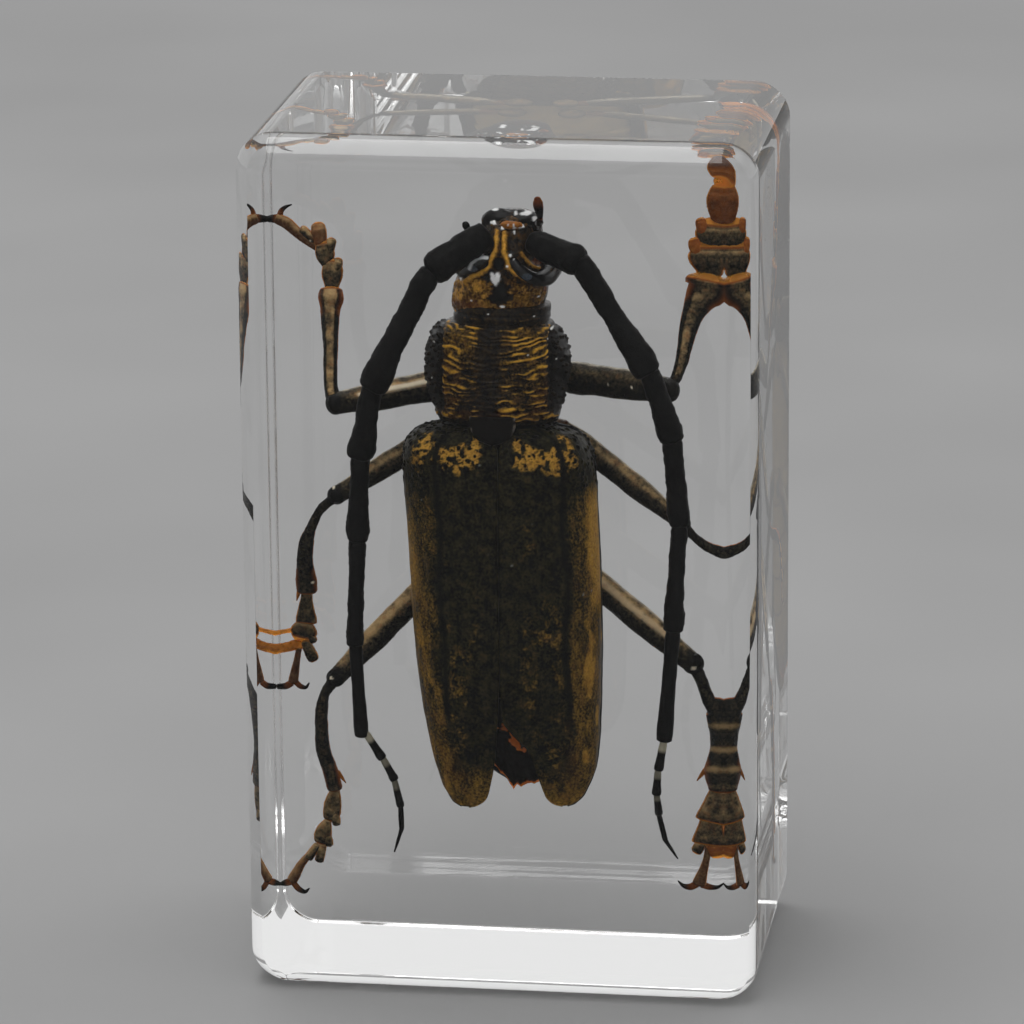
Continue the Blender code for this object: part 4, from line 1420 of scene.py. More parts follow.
    def jaws(self) -> Skin:
        """Two stout blue-black jaws that close in one low mound, with silver flecks of painted highlight, and
        the orange lip.
        """
        skins = []
        for centre in ((-0.45, -0.8, 64.75), (1.15, -0.8, 64.7)):
            jaw = egg(centre, (1.75, 1.5, 1.0), 60, 44)
            x, z = jaw.x_and_z()
            rough = cloud(jaw.points, 0.5, 131, 2) - 0.5
            jaw.raised(0.28 * rough)
            # Painted highlights: silver-white flecks on the front of the jaws.
            highlight = np.maximum.reduce([spot(x + 0.3 * rough, z + 0.3 * rough, fleck[:2], fleck[2:])
                                      for fleck in self.jaw_highlights])
            highlight *= jaw.normals()[..., 1] < 0.2
            skins.append(jaw.painted(bare=1.0 - 0.4 * highlight, pale=0.8 * highlight, down=0.0).closed())
        lip = egg((0.5, -2.75, 64.65), (0.95, 0.5, 0.38), sides=48, rings=30)
        mottle = cloud(lip.points, 0.3, 139, 2)
        lip.raised(0.14 * (mottle - 0.5))
        # The lip's pale flecks are painted highlights.
        skins.append(lip.painted(amber=0.65 + 0.5 * (mottle - 0.3), down=0.7, pale=smooth_step(
            0.72, 0.8, cloud(lip.points, 0.25, 141))).closed())
        return joined(skins)

    def palps(self) -> Skin:
        """The palps: a red-brown club on the right, a small black knob on the left, and the pair beneath."""
        parts = [
            bar([(1.8, -1.2, 64.2, 0.3, 0.3), (2.45, -2.0, 64.4, 0.34, 0.34),
                 (2.8, -2.5, 64.95, 0.34, 0.3)], 18, 24),
            bar([(2.95, -2.55, 65.2, 0.12, 0.12), (2.85, -2.75, 65.7, 0.3, 0.28),
                 (2.75, -2.9, 66.3, 0.42, 0.36), (2.7, -2.9, 66.75, 0.38, 0.32),
                 (2.68, -2.9, 66.9, 0.3, 0.25)], 24, 40),
            bar([(-2.3, -1.4, 63.2, 0.24, 0.24), (-2.9, -1.9, 63.5, 0.2, 0.2),
                 (-3.2, -2.3, 64.0, 0.17, 0.17)], 18, 20),
            bar([(-3.22, -2.35, 64.05, 0.14, 0.14), (-3.26, -2.6, 64.5, 0.32, 0.3),
                 (-3.3, -2.7, 64.65, 0.28, 0.26)], 20, 20),
            bar([(-0.3, 1.3, 64.2, 0.26, 0.26), (-0.5, 1.9, 64.8, 0.3, 0.28)], 18, 20),
            bar([(1.4, 1.3, 64.2, 0.26, 0.26), (1.6, 1.9, 64.8, 0.3, 0.28)], 18, 20)]
        skins = []
        for part, red, pale in zip(parts, (0.1, 0.45, 0.0, 0.0, 0.5, 0.5), (0.35, 0.0, 0.55, 0.0, 0.0, 0.0)):
            ends = smooth_step(0.45, 0.95, part.along) + smooth_step(0.15, 0.0, part.along)
            edge = smooth_step(0.7, 0.95, np.abs(np.cos(part.turn)))
            patch = smooth_step(0.5, 0.65, cloud(part.points, 0.3, 143))
            skins.append(part.painted(amber=red * (ends + 0.5 * edge), pale=pale * patch, bare=1.0).closed())
        return joined(skins)

    def build(self) -> None:
        """Make the head's shell, eyes and mouth."""
        settle(make_piece("head_shell", self.capsule(), HEAD_SHELL.material()), Slot.SHIELD, "head")
        settle(make_piece("eyes", self.eyes(), EYE_SHELL.material()), Slot.SHIELD)
        mouth = joined([self.jaws(), self.palps()])
        settle(make_piece("mouthparts", mouth, HEAD_SHELL.material()), Slot.SHIELD)


@dataclass
class Feeler:
    """One antenna: a stout scape, long articles that swell at their ends, and a thin whip.

    Attributes:
        side: which side it is on.
        node: the CAD node that it stands for.
        articles: for each, its start, its end and its half widths at the start, the middle and the end.
    """

    side: Side
    node: str
    articles: list

    def article(self, start: Point, end: Point, widths: Point, number: int) -> Skin:
        """One article: a bar that starts inside the one before it and swells to its end.

        The stout ones are knobbly and granulate.

        Args:
            start: its narrow end.
            end: its swollen end.
            widths: its half widths at the start, the middle and the end.
            number: which article it is, from the scape.

        Returns:
            Its skin.
        """
        first, middle, last = widths
        length = float(np.linalg.norm(np.subtract(end, start)))
        overlap = min(0.5, 0.6 * first) / length
        stations = [(*part_way(start, end, share), width, width) for share, width in (
            (-overlap, 0.85 * first), (0.04, first), (0.2, 0.4 * first + 0.6 * middle), (0.5, middle),
            (0.76, 0.45 * middle + 0.55 * last), (0.92, last), (1.0, 0.93 * last))]
        grid = bar(stations, 36, max(24, int(length * 9)), dome=0.4)
        rough = 1.0 if number < 5 else 0.3
        height = rough * (0.045 * beads(grid.points, 0.3, 139 + number)
                          + 0.3 * min(last, 1.0) * (cloud(grid.points, 1.0, 149 + number, 2) - 0.5))
        grid.raised(height)
        clear = {6: 1.0, 7: 0.5, 8: 0.35}.get(number, 0.0)
        pale = clear * smooth_step(0.45, 0.3, grid.along)
        return grid.painted(pale=pale, down=0.3 * cloud(grid.points, 0.6, 151), bare=0.3).closed()

    def build(self) -> None:
        """Make the antenna and let it stand for its CAD node."""
        skins = [self.article(start, end, widths, number)
                 for number, (start, end, widths) in enumerate(self.articles)]
        settle(make_piece(f"feeler_{self.side.name.lower()}", joined(skins), FEELER_SHELL.material()),
               Slot.FEELER, self.node)


@dataclass
class Pad:
    """One cup or lobe of a foot.

    Attributes:
        start: its root.
        end: its wide end.
        root: its half width at the root.
        width: its half width at the end.
        depth: its half depth.
        glow: how orange its edges are.
        core: how orange its middle is.
        flared: whether it widens right to its end, as a cup does, and isn't rounded off there.
    """

    start: Point
    end: Point
    root: float
    width: float
    depth: float = 0.4
    glow: float = 1.0
    core: float = 0.0
    flared: bool = False


@dataclass
class Leg:
    """One leg: hip, thigh, knee, shin with its spurs, and a foot of cupped pads and two claws.

    Attributes:
        name: where it sits, which its CAD node's name ends in.
        hip: the hip's middle.
        ring: where the thigh starts.
        knee: the knee's middle.
        thigh: the thigh's half widths at its start, middle and end.
        shin: rows of x, y, z and half width, from the knee to the foot.
        pads: the foot's cups and lobes.
        stalk: rows of x, y, z and half width of the last segment, which bears the claws.
        claws: for each claw, rows of x, y, z and half width.
        spurs: for each spur of the shin, its root and its tip.
        glints: places of small painted highlights on the leg, white flecks, as x, z and radius.
        bands: the heights of the golden rings on the shin.
        knee_size: the knee's half width and half height.
        claw_glow: how orange the claws are.
        thigh_down: how much down the thigh bears.
        streak: how golden the painted highlight of down along the thigh's upper side is.
        gleam: how white that painted highlight's middle is.
        shin_lit_down: how much down is painted along the middle of the shin as painted light; its bare sides
            are painted shade.
        foot_down: how much down lies on the foot.
    """

    name: str
    hip: Point
    ring: Point
    knee: Point
    thigh: Point
    shin: tuple
    pads: tuple
    stalk: tuple
    claws: tuple
    spurs: tuple = ()
    glints: tuple = ()
    bands: tuple = ()
    knee_size: float = 0.8
    claw_glow: float = 0.3
    thigh_down: float = 0.3
    streak: float = 0.4
    gleam: float = 0.0
    shin_lit_down: float = 0.4
    foot_down: float = 0.7

    def dressed(self, grid: Grid, down: Array | float, amber: Array | float = 0.0, bare: Array | float = 0.0,
                roughness: float = 0.03, pale: Array | float = 0.0) -> Skin:
        """Roughen a segment with fine grain, paint its down brighter where it faces up as painted light, and
        close it with its paint.

        Args:
            grid: the segment.
            down: how much down is painted where it faces up; as painted light and shade it falls off on the
                sides and is gone underneath.
            amber: how thin and orange it is.
            bare: how bare it is.
            roughness: the grain's height in millimetres.
            pale: how milky or silvery it is.

        Returns:
            Its skin.
        """
        upward = grid.normals()[..., 2]
        x, z = grid.x_and_z()
        grid.raised(roughness * beads(grid.points, 0.24, 163)
                    + 0.12 * (cloud(grid.points, 1.1, 167, 2) - 0.5) * min(1.0, roughness / 0.03))
        patchy = 0.55 + 0.9 * cloud(grid.points, 0.5, 173, 3)
        # Painted light and shade: down brightest where the segment faces up, fading on its sides, none
        # underneath.
        lit = 0.45 + 0.75 * smooth_step(-0.05, 0.65, upward) - 0.45 * smooth_step(-0.1, -0.6, upward)
        # Painted highlights: white flecks at the glints, on the side that faces the front.
        glint = sum((smooth_step(1.3 * radius, 0.7 * radius, np.hypot(x - at_x, z - at_z))
                     for at_x, at_z, radius in self.glints), np.zeros_like(x))
        pale = np.maximum(glint * (grid.normals()[..., 1] < 0.0), pale)
        return grid.painted(down=down * patchy * lit, amber=amber, pale=pale, bare=bare).closed()

    def thigh_skins(self) -> list[Skin]:
        """Hip, hip ring, thigh and knee: an egg, a small bar, a spindle and a polished black ball."""
        first, middle, last = self.thigh
        hip = egg(self.hip, (1.25, 1.25, 1.35))
        ring = bar([(*part_way(self.hip, self.ring, 0.45), 0.75, 0.75), (*self.ring, 0.8, 0.75)], 26, 20)
        stations = [(*part_way(self.ring, self.knee, share), width, 0.85 * width)
                    for share, width in ((0.0, 0.75 * first), (0.12, first), (0.4, middle), (0.65, middle),
                                         (0.88, last), (1.0, 0.94 * last))]
        thigh = bar(stations, 44, 130)
        spots = cloud(thigh.points * np.array([0.6, 1.0, 1.0]), 0.5, 179, 3)
        edge = smooth_step(0.9, 0.99, np.abs(np.cos(thigh.turn)))
        end = smooth_step(0.9, 1.0, thigh.along)
        upward = thigh.normals()[..., 2]
        # Painted highlight: a streak of golden down where the thigh faces partly up, towards the light.
        streak = bump_at(upward, 0.45, 0.2) * smooth_step(0.02, 0.15, thigh.along)
        streak *= smooth_step(0.9, 0.75, thigh.along)
        streak *= (thigh.normals()[..., 1] < 0.2) * smooth_step(0.25, 0.6, spots + 0.25)
        knee = egg(self.knee, (self.knee_size, 0.75, self.knee_size))
        # The thigh's underside is left bare and dark, as painted shade.
        return [self.dressed(hip, 0.4), self.dressed(ring, 0.3, amber=0.14),
                self.dressed(thigh, self.thigh_down * (0.5 + spots) * (1.0 - end) + self.streak * streak,
                             bare=np.maximum(0.8 * end, 0.6 * smooth_step(0.1, -0.3, upward)),
                             pale=np.maximum(self.gleam * smooth_step(0.4, 0.8, streak),
                                             0.4 * edge * spots * (1.0 - end))),
                self.dressed(knee, 0.05, bare=1.0, roughness=0.01)]

    def shin_skins(self) -> list[Skin]:
        """The shin: narrow below the knee, wide and flat at its end, with an orange rim, and its spurs."""
        stations = [(*self.knee, 0.5, 0.5)]
        stations += [(x, y, z, half, 0.8 * half if half < 0.7 else 0.2 + 0.5 * half)
                     for x, y, z, half in self.shin]
        shin = bar(stations, 40, 150, dome=0.4)
        across = np.abs(np.cos(shin.turn))
        end = smooth_step(0.99, 1.04, shin.along) * (1.0 - 0.7 * smooth_step(1.08, 1.18, shin.along))
        edge = smooth_step(0.95, 0.995, across) * smooth_step(0.15, 0.4, shin.along)
        # Painted light and shade: down along the shin's lit middle, and its sides left bare and dark.
        core = smooth_step(0.8, 0.35, across) * (0.55 + 0.9 * cloud(shin.points, 0.5, 181, 3))
        golden = smooth_step(0.74, 0.82, shin.along) * smooth_step(1.05, 0.97, shin.along)
        rings = sum((bump_at(shin.points[..., 2], height, 0.4) for height in self.bands),
                    np.zeros_like(across))
        skins = [self.dressed(shin, self.shin_lit_down * core * (1.0 + 0.5 * golden) + 1.9 * rings,
                              amber=np.maximum.reduce([end, 0.6 * edge, 0.5 * golden * across ** 4]),
                              bare=np.maximum(0.7 * smooth_step(0.25, 0.05, shin.along), 0.7 * (1.0 - core))
                              * (1.0 - np.clip(rings, 0.0, 1.0)))]
        for root, tip in self.spurs:
            middle = part_way(root, tip, 0.5)
            spur = bar([(*root, 0.22, 0.2), (*middle, 0.16, 0.15), (*tip, 0.05, 0.05)], 14, 16)
            skins.append(self.dressed(spur, 0.0, amber=0.6, roughness=0.0))
        return skins

    def pad_skin(self, pad: Pad) -> Skin:
        """One pad: a flat bell, narrow at its root, dark and downy in its middle, glowing at its edges."""
        shares = (0.0, 0.25, 0.6, 0.85, 1.0)
        growth = (0.0, 0.2, 0.6, 0.92, 1.0) if pad.flared else (0.0, 0.5, 0.97, 0.95, 0.75)
        thickness = (0.7, 0.95, 1.0, 0.95, 0.8)
        stations = [(*part_way(pad.start, pad.end, share), pad.root + (pad.width - pad.root) * grown,
                     pad.depth * deep) for share, grown, deep in zip(shares, growth, thickness)]
        grid = bar(stations, 40, 34, dome=0.2 if pad.flared else 0.7)
        edge = smooth_step(0.84, 0.98, np.abs(np.cos(grid.turn)))
        rim = smooth_step(0.97, 1.06, grid.along) if pad.flared else smooth_step(1.06, 1.26, grid.along)
        mottle = cloud(grid.points, 0.4, 183, 2)
        amber = np.maximum.reduce([pad.glow * edge, pad.glow * rim, pad.core * (0.5 + mottle)])
        return self.dressed(grid, self.foot_down * (0.6 + 0.8 * mottle), amber=amber, roughness=0.03)

    def foot_skins(self) -> list[Skin]:
        """The foot: its pads, the last segment and two hooked claws."""
        skins = [self.pad_skin(pad) for pad in self.pads]
        stalk = bar([(x, y, z, half, 0.8 * half) for x, y, z, half in self.stalk], 30, 60, dome=0.5)
        edge = smooth_step(0.85, 0.99, np.abs(np.cos(stalk.turn)))
        amber = np.maximum(0.9 * edge, 1.2 * self.claw_glow - 0.2)
        skins.append(self.dressed(stalk, 0.9 * self.foot_down, amber=amber, roughness=0.02))
        for claw in self.claws:
            hook = bar([(x, y, z, half, 0.85 * half) for x, y, z, half in claw], 20, 44, dome=0.5)
            glow = self.claw_glow * smooth_step(0.75, 0.1, hook.along)
            skins.append(self.dressed(hook, 0.1, amber=glow, bare=0.8, roughness=0.0))
        return skins

    def build(self) -> None:
        """Make the leg and let it stand for its CAD node."""
        skins = self.thigh_skins() + self.shin_skins() + self.foot_skins()
        settle(make_piece(f"leg_shell_{self.name}", joined(skins), LEG_SHELL.material()),
               Slot.LEG, f"leg_{self.name}")


FRONT_LEFT = Leg(
    "front_left", (-2.8, 5.5, 50.9), (-5.0, 4.9, 50.0), (-14.9, 1.5, 48.4), (1.25, 1.25, 0.98),
    shin=((-15.0, 1.6, 48.8, 0.6), (-15.24, 2.0, 49.65, 0.58), (-15.33, 2.6, 50.9, 0.58),
          (-15.37, 3.4, 52.8, 0.62), (-15.46, 4.2, 54.8, 0.74), (-15.5, 4.7, 56.05, 0.86),
          (-15.46, 5.0, 56.95, 1.08), (-15.47, 5.2, 57.4, 0.98)),
    pads=(Pad((-15.42, 5.3, 57.5), (-15.36, 5.6, 59.6), 0.45, 0.88),
          Pad((-15.1, 5.5, 58.9), (-14.9, 5.7, 59.95), 0.3, 0.42),
          Pad((-15.75, 5.7, 59.4), (-16.1, 5.9, 61.1), 0.4, 0.82),
          Pad((-15.7, 5.8, 60.3), (-15.45, 6.0, 61.6), 0.3, 0.42),
          Pad((-16.35, 6.0, 60.9), (-16.6, 6.3, 62.7), 0.35, 0.66, core=0.2),
          Pad((-17.0, 6.2, 61.6), (-17.9, 6.4, 62.45), 0.3, 0.36)),
    stalk=((-16.8, 6.2, 61.0, 0.3), (-17.7, 6.4, 61.6, 0.38), (-18.6, 6.7, 62.3, 0.46),
           (-19.4, 7.0, 62.9, 0.5), (-20.1, 7.2, 63.15, 0.46)),
    claws=(((-19.95, 7.2, 63.3, 0.28), (-19.8, 7.4, 63.85, 0.22), (-19.45, 7.5, 64.15, 0.15),
            (-18.95, 7.6, 64.35, 0.05)),
           ((-20.0, 7.2, 63.15, 0.42), (-20.5, 7.3, 63.15, 0.36), (-20.95, 7.4, 63.1, 0.28))),
    glints=((-17.25, 61.55, 0.09),), knee_size=0.72, streak=1.0, gleam=0.9, shin_lit_down=0.7, foot_down=0.75)
FRONT_RIGHT = Leg(
    "front_right", (1.2, 5.5, 50.9), (3.4, 4.9, 50.8), (13.2, 1.5, 50.4), (1.35, 1.3, 1.1),
    shin=((13.3, 1.6, 50.7, 0.42), (13.7, 2.1, 51.4, 0.45), (14.05, 2.6, 52.6, 0.54),
          (14.3, 3.1, 53.9, 0.62), (14.57, 3.8, 55.4, 0.78), (15.0, 4.3, 56.7, 1.0),
          (15.55, 4.7, 57.8, 1.4), (16.0, 5.0, 58.5, 1.85), (16.1, 5.1, 59.0, 1.95)),
    pads=(Pad((16.2, 5.4, 60.0), (16.15, 5.7, 61.6), 1.15, 1.8, 0.5),
          Pad((15.2, 5.6, 61.2), (14.9, 5.8, 62.3), 0.4, 0.6, core=0.5),
          Pad((16.4, 5.8, 61.9), (16.5, 6.1, 63.4), 1.0, 1.55, 0.5),
          Pad((15.6, 5.9, 63.0), (15.4, 6.1, 64.0), 0.4, 0.5, core=0.5),
          Pad((16.95, 6.2, 64.2), (17.2, 6.4, 66.4), 0.8, 1.3, 0.55, 1.0, 0.3)),
    stalk=((17.1, 7.0, 66.4, 0.5), (17.1, 7.1, 67.4, 0.75), (17.1, 7.1, 68.1, 0.55), (17.1, 7.0, 68.7, 0.8),
           (17.1, 7.0, 69.1, 0.9)),
    claws=(((16.6, 7.1, 69.0, 0.3), (16.1, 7.3, 69.25, 0.22), (15.7, 7.5, 69.2, 0.12),
            (15.5, 7.6, 69.0, 0.05)),
           ((17.6, 7.1, 69.0, 0.3), (18.1, 7.3, 69.25, 0.22), (18.5, 7.5, 69.2, 0.12),
            (18.7, 7.6, 69.0, 0.05))),
    glints=((8.0, 50.55, 0.07), (10.0, 50.5, 0.08), (17.6, 65.4, 0.09)), claw_glow=0.9, thigh_down=0.2,
    streak=0.15, shin_lit_down=0.6, foot_down=0.55)
MIDDLE_LEFT = Leg(
    "middle_left", (-3.4, 5.8, 46.6), (-5.8, 4.9, 46.0), (-14.9, 2.0, 40.4), (1.0, 0.98, 0.8),
    shin=((-15.22, 2.0, 40.1, 0.42), (-16.15, 2.2, 39.25, 0.38), (-17.2, 3.0, 37.4, 0.42),
          (-17.8, 4.0, 35.7, 0.63), (-18.04, 5.0, 33.6, 0.73), (-18.06, 5.8, 32.0, 0.92),
          (-18.05, 6.0, 31.26, 0.88)),
    pads=(Pad((-18.1, 6.1, 31.0), (-18.2, 6.3, 28.4), 0.45, 0.92, flared=True),
          Pad((-18.3, 6.4, 28.3), (-18.5, 6.5, 27.2), 0.7, 1.15),
          Pad((-19.0, 6.9, 27.6), (-20.9, 6.3, 27.3), 0.3, 0.18, 0.25, 1.0, 1.0),
          Pad((-18.1, 6.5, 27.6), (-17.64, 6.6, 26.7), 0.25, 0.35),
          Pad((-18.3, 6.6, 26.5), (-17.74, 6.8, 25.1), 0.4, 0.5),
          Pad((-18.9, 6.9, 26.3), (-20.8, 6.2, 25.9), 0.5, 0.42, 0.35, 1.0, 0.8)),
    stalk=((-18.93, 6.8, 25.9, 0.25), (-19.14, 7.0, 24.8, 0.28), (-19.36, 7.2, 23.7, 0.38),
           (-19.52, 7.3, 22.9, 0.44)),
    claws=(((-19.3, 7.3, 22.8, 0.26), (-18.9, 7.5, 22.4, 0.24), (-18.5, 7.65, 22.3, 0.16),
            (-18.2, 7.7, 22.7, 0.06)),
           ((-19.7, 7.3, 22.7, 0.3), (-20.2, 7.45, 22.4, 0.3), (-20.9, 7.6, 22.3, 0.24))),
    spurs=(((-18.7, 6.0, 31.3), (-18.95, 6.1, 30.3)),),
    glints=((-15.1, 41.1, 0.1), (-17.45, 32.1, 0.12)), knee_size=0.8, thigh_down=0.35, streak=0.3,
    shin_lit_down=0.35, foot_down=0.8)
MIDDLE_RIGHT = Leg(
    "middle_right", (1.8, 5.8, 46.6), (4.0, 4.9, 46.2), (14.2, 2.0, 38.9), (1.0, 0.98, 0.72),
    shin=((14.5, 2.0, 38.55, 0.42), (15.2, 2.2, 37.7, 0.4), (16.2, 2.7, 36.85, 0.45),
          (17.2, 3.4, 36.3, 0.5), (18.1, 4.8, 35.9, 0.6), (18.4, 7.0, 35.1, 0.8), (18.4, 7.8, 34.6, 0.85)),
    pads=(Pad((18.4, 8.2, 34.0), (18.45, 8.9, 32.9), 0.45, 0.9),
          Pad((18.5, 9.1, 32.6), (18.5, 9.5, 31.6), 0.4, 0.85),
          Pad((18.2, 9.6, 31.3), (18.0, 9.9, 30.4), 0.3, 0.45),
          Pad((18.8, 9.6, 31.3), (19.0, 9.9, 30.4), 0.3, 0.45)),
    stalk=((18.5, 9.7, 31.2, 0.25), (18.45, 10.0, 29.8, 0.28), (18.4, 10.2, 28.7, 0.42)),
    claws=(((18.2, 10.3, 28.5, 0.26), (17.8, 10.5, 28.1, 0.2), (17.4, 10.7, 28.2, 0.06)),
           ((18.6, 10.3, 28.5, 0.26), (19.0, 10.5, 28.1, 0.2), (19.4, 10.7, 28.2, 0.06))),
    knee_size=0.7, thigh_down=0.35, streak=0.3, shin_lit_down=0.25)
HIND_LEFT = Leg(
    "hind_left", (-3.6, 5.9, 35.6), (-6.2, 4.7, 33.8), (-15.2, 1.5, 24.5), (1.0, 1.05, 0.85),
    shin=((-15.4, 1.5, 24.2, 0.5), (-16.1, 1.7, 23.2, 0.42), (-16.5, 2.2, 21.5, 0.52),
          (-16.62, 2.8, 19.6, 0.56), (-16.55, 3.6, 17.5, 0.63), (-16.12, 4.4, 15.6, 0.67),
          (-15.85, 5.0, 14.0, 0.66)),
    pads=(Pad((-15.83, 5.1, 13.7), (-16.25, 5.5, 11.3), 0.42, 0.78),
          Pad((-15.9, 5.4, 11.8), (-15.8, 5.6, 10.7), 0.3, 0.36),
          Pad((-16.6, 5.6, 10.8), (-17.2, 5.9, 9.1), 0.34, 0.73),
          Pad((-16.67, 5.8, 9.7), (-16.5, 6.0, 8.7), 0.28, 0.36),
          Pad((-17.06, 6.0, 8.5), (-17.4, 6.2, 7.2), 0.3, 0.4),
          Pad((-17.6, 6.0, 8.5), (-18.3, 6.2, 7.4), 0.3, 0.38)),
    stalk=((-17.7, 6.1, 8.4, 0.25), (-18.2, 6.3, 7.7, 0.26), (-19.0, 6.5, 6.7, 0.34),
           (-19.6, 6.7, 5.6, 0.45), (-19.85, 6.8, 5.15, 0.46)),
    claws=(((-19.75, 6.9, 4.8, 0.27), (-19.3, 7.0, 4.25, 0.26), (-18.8, 7.05, 4.05, 0.18),
            (-18.43, 7.1, 4.35, 0.06)),
           ((-20.0, 6.85, 4.95, 0.32), (-20.5, 6.95, 4.8, 0.3), (-20.95, 7.0, 4.65, 0.14))),
    spurs=(((-15.5, 4.6, 15.5), (-14.87, 4.9, 14.5)),),
    glints=((-15.5, 24.6, 0.13),), thigh_down=0.45, streak=0.35, shin_lit_down=0.7, foot_down=1.2)
HIND_RIGHT = Leg(
    "hind_right", (2.0, 5.9, 35.8), (4.8, 4.7, 34.6), (15.1, 1.5, 26.9), (1.1, 1.15, 0.95),
    shin=((15.4, 1.6, 26.3, 0.55), (15.8, 1.8, 25.3, 0.5), (16.15, 2.1, 24.2, 0.5),
          (16.45, 2.3, 23.45, 0.6), (17.05, 2.6, 22.8, 1.05), (17.3, 2.9, 21.6, 1.1),
          (17.5, 3.3, 20.2, 1.1), (17.5, 3.6, 19.1, 1.1), (17.3, 4.0, 17.8, 1.2), (17.15, 4.3, 17.0, 1.3),
          (17.15, 4.8, 15.4, 1.05)),
    pads=(Pad((17.0, 5.1, 14.9), (16.45, 5.4, 12.3), 0.8, 1.45, 0.5, flared=True),
          Pad((16.4, 5.5, 12.5), (16.2, 5.8, 10.2), 0.9, 1.5, 0.5, flared=True),
          Pad((15.5, 5.9, 10.2), (15.1, 6.1, 9.4), 0.4, 0.5, 0.4),
          Pad((16.6, 5.9, 10.2), (16.9, 6.1, 9.3), 0.8, 0.8, 0.4, 1.0, 0.5)),
    stalk=((16.1, 6.0, 10.0, 0.3), (15.9, 6.2, 8.6, 0.3), (15.5, 6.5, 7.2, 0.45), (15.25, 6.7, 6.4, 0.6)),
    claws=(((15.0, 6.8, 6.2, 0.32), (14.4, 7.0, 5.9, 0.3), (13.9, 7.1, 5.95, 0.2), (13.4, 7.2, 6.35, 0.06)),
           ((15.5, 6.8, 6.2, 0.32), (16.2, 7.0, 5.95, 0.26), (16.8, 7.1, 5.95, 0.16),
            (17.3, 7.2, 6.3, 0.06))),
    spurs=(((15.9, 4.6, 16.9), (15.2, 4.8, 15.9)),),
    glints=((15.2, 26.6, 0.14), (14.6, 9.3, 0.1)), bands=(21.3, 19.1, 17.2, 15.6), knee_size=0.95,
    thigh_down=0.35, streak=0.8, gleam=0.2, shin_lit_down=0.35, foot_down=1.0)


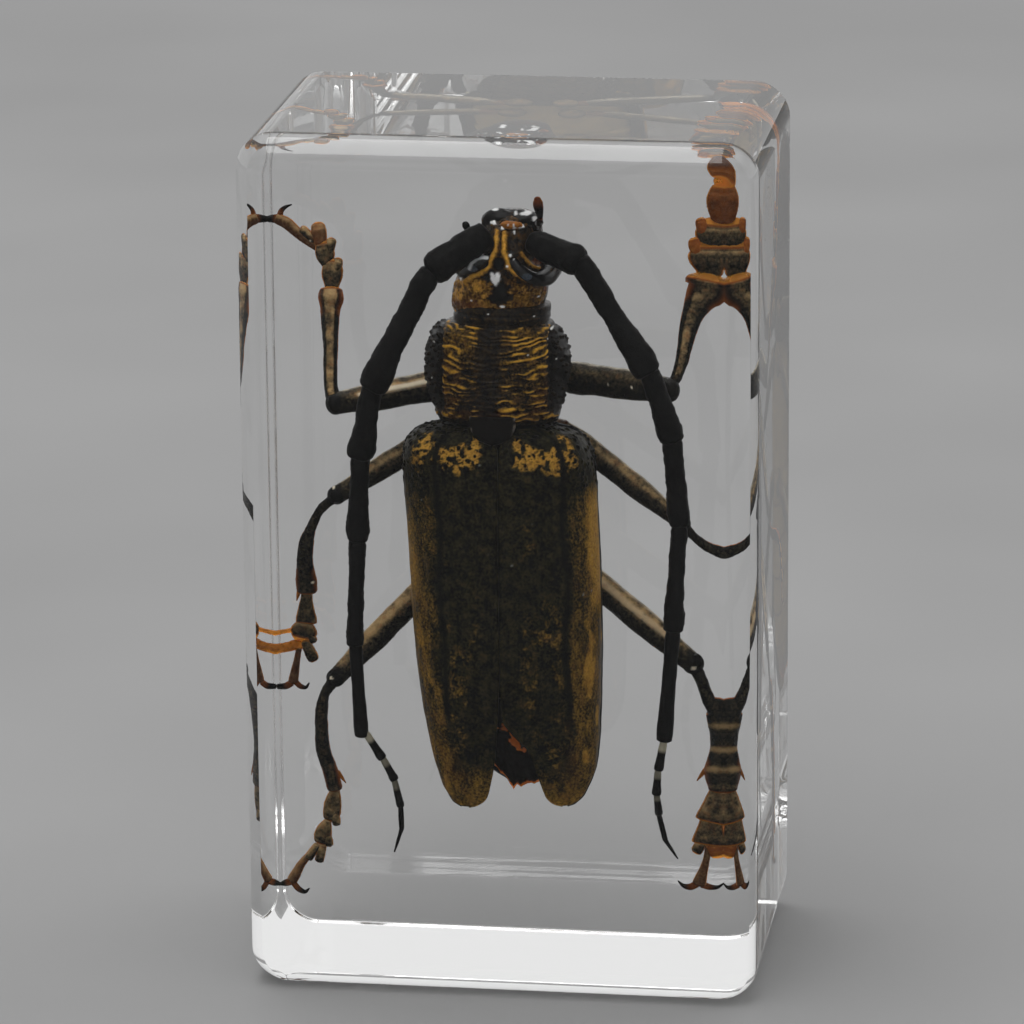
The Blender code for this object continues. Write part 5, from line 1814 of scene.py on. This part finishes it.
@dataclass
class Beetle:
    """The whole beetle: what its parts measure and the order in which they are made."""

    wing_cases: tuple = (
        WingCase(Side.LEFT, "elytron_left", [
            (47.6, -1.5, -5.0, 3.7, 0.0), (46.9, -1.1, -7.4, 4.4, 0.0), (46.2, -0.7, -8.3, 4.8, 0.0),
            (45.0, -0.6, -8.75, 5.1, 0.0), (43.4, -0.58, -8.9, 5.35, 0.0), (39.9, -0.58, -8.75, 5.5, 0.0),
            (35.0, -0.58, -8.5, 5.6, 0.0), (30.0, -0.58, -8.3, 5.5, 0.0), (25.2, -0.65, -7.85, 5.2, 0.0),
            (22.2, -0.85, -7.4, 4.7, 0.1), (20.4, -1.0, -7.1, 4.4, 0.3), (18.8, -1.15, -6.75, 4.2, 0.5),
            (17.8, -1.3, -6.5, 4.0, 0.65), (16.7, -1.55, -6.1, 3.7, 0.9), (15.9, -1.75, -5.8, 3.35, 1.15),
            (15.3, -2.0, -5.4, 3.05, 1.4), (14.9, -2.35, -5.1, 2.85, 1.65), (14.6, -2.85, -4.75, 2.7, 1.9),
            (14.4, -3.5, -4.2, 2.5, 2.1)], 0.62, 0.68, 42.0),
        WingCase(Side.RIGHT, "elytron_right", [
            (47.6, -0.1, 3.0, 3.7, 0.0), (46.9, -0.3, 5.3, 4.4, 0.0), (46.0, -0.45, 6.25, 4.8, 0.0),
            (45.0, -0.5, 6.65, 5.1, 0.0), (43.4, -0.5, 6.95, 5.35, 0.0), (39.9, -0.5, 7.2, 5.5, 0.0),
            (35.0, -0.5, 7.4, 5.6, 0.0), (30.0, -0.5, 7.5, 5.5, 0.0), (25.2, -0.5, 7.5, 5.2, 0.0),
            (23.6, -0.5, 7.45, 5.0, 0.0), (22.4, -0.35, 7.4, 4.75, 0.1), (21.3, 0.4, 7.4, 4.55, 0.2),
            (19.85, 1.7, 7.3, 4.3, 0.4), (18.7, 2.15, 7.2, 4.1, 0.6), (17.8, 2.4, 7.05, 3.9, 0.75),
            (16.9, 2.65, 6.75, 3.55, 1.1), (16.05, 2.9, 6.35, 3.2, 1.4), (15.55, 3.1, 6.05, 3.0, 1.6),
            (15.15, 3.5, 5.6, 2.8, 1.85), (14.9, 4.0, 5.15, 2.6, 2.1), (14.8, 4.4, 4.8, 2.5, 2.3)],
            0.69, 0.82, 44.5))
    feelers: tuple = (
        Feeler(Side.LEFT, "antenna_left", [
            ((-2.0, -3.9, 63.7), (-5.7, -5.2, 61.2), (1.2, 1.25, 1.35)),
            ((-6.3, -5.35, 60.5), (-10.9, -5.4, 51.2), (1.0, 0.95, 1.28)),
            ((-11.0, -5.4, 51.0), (-12.0, -4.8, 45.2), (0.85, 0.92, 1.17)),
            ((-12.05, -4.8, 45.0), (-12.5, -4.1, 37.9), (0.78, 0.82, 0.97)),
            ((-12.5, -4.1, 37.7), (-12.95, -3.3, 28.6), (0.68, 0.66, 0.72)),
            ((-12.9, -3.3, 28.4), (-12.6, -2.5, 20.4), (0.56, 0.54, 0.62)),
            ((-12.25, -2.5, 20.6), (-10.9, -2.3, 18.4), (0.3, 0.34, 0.42)),
            ((-10.8, -2.3, 18.3), (-9.9, -2.1, 16.5), (0.28, 0.32, 0.4)),
            ((-9.9, -2.1, 16.4), (-9.4, -2.0, 14.1), (0.26, 0.3, 0.34)),
            ((-9.4, -2.0, 14.0), (-9.4, -1.5, 12.0), (0.22, 0.24, 0.22)),
            ((-9.4, -1.5, 12.0), (-10.1, -1.0, 9.8), (0.19, 0.14, 0.07))]),
        Feeler(Side.RIGHT, "antenna_right", [
            ((2.8, -3.9, 63.3), (6.2, -5.3, 62.2), (1.15, 1.25, 1.32)),
            ((6.6, -5.5, 61.8), (11.9, -5.4, 53.2), (0.95, 0.92, 1.27)),
            ((12.05, -5.4, 53.0), (13.8, -4.7, 47.4), (0.85, 0.92, 1.15)),
            ((13.85, -4.7, 47.2), (14.4, -4.0, 40.0), (0.78, 0.82, 0.93)),
            ((14.4, -4.0, 39.8), (13.8, -3.3, 30.8), (0.68, 0.68, 0.9)),
            ((13.8, -3.3, 30.6), (13.0, -2.5, 21.0), (0.62, 0.6, 0.7)),
            ((12.95, -2.5, 20.8), (12.5, -2.3, 18.3), (0.3, 0.34, 0.42)),
            ((12.45, -2.3, 18.2), (12.3, -2.1, 16.1), (0.28, 0.32, 0.4)),
            ((12.3, -2.1, 16.1), (12.5, -2.0, 14.3), (0.26, 0.3, 0.34)),
            ((12.5, -2.0, 14.2), (13.0, -1.5, 11.9), (0.22, 0.24, 0.22)),
            ((13.0, -1.5, 11.9), (14.0, -1.0, 10.2), (0.19, 0.14, 0.07))]))
    legs: tuple = (FRONT_LEFT, FRONT_RIGHT, MIDDLE_LEFT, MIDDLE_RIGHT, HIND_LEFT, HIND_RIGHT)

    def build(self) -> None:
        """Make every part, body first."""
        for part in (Head(), NeckShield(), HindBody(), *self.wing_cases, *self.legs, *self.feelers):
            part.build()


def main() -> None:
    """Build the stage, the beetle and the block, in that order."""
    logging.basicConfig(level=logging.INFO, format="%(message)s")
    Studio().build()
    Beetle().build()
    ResinBlock().build()


if __name__ == "__main__":
    main()
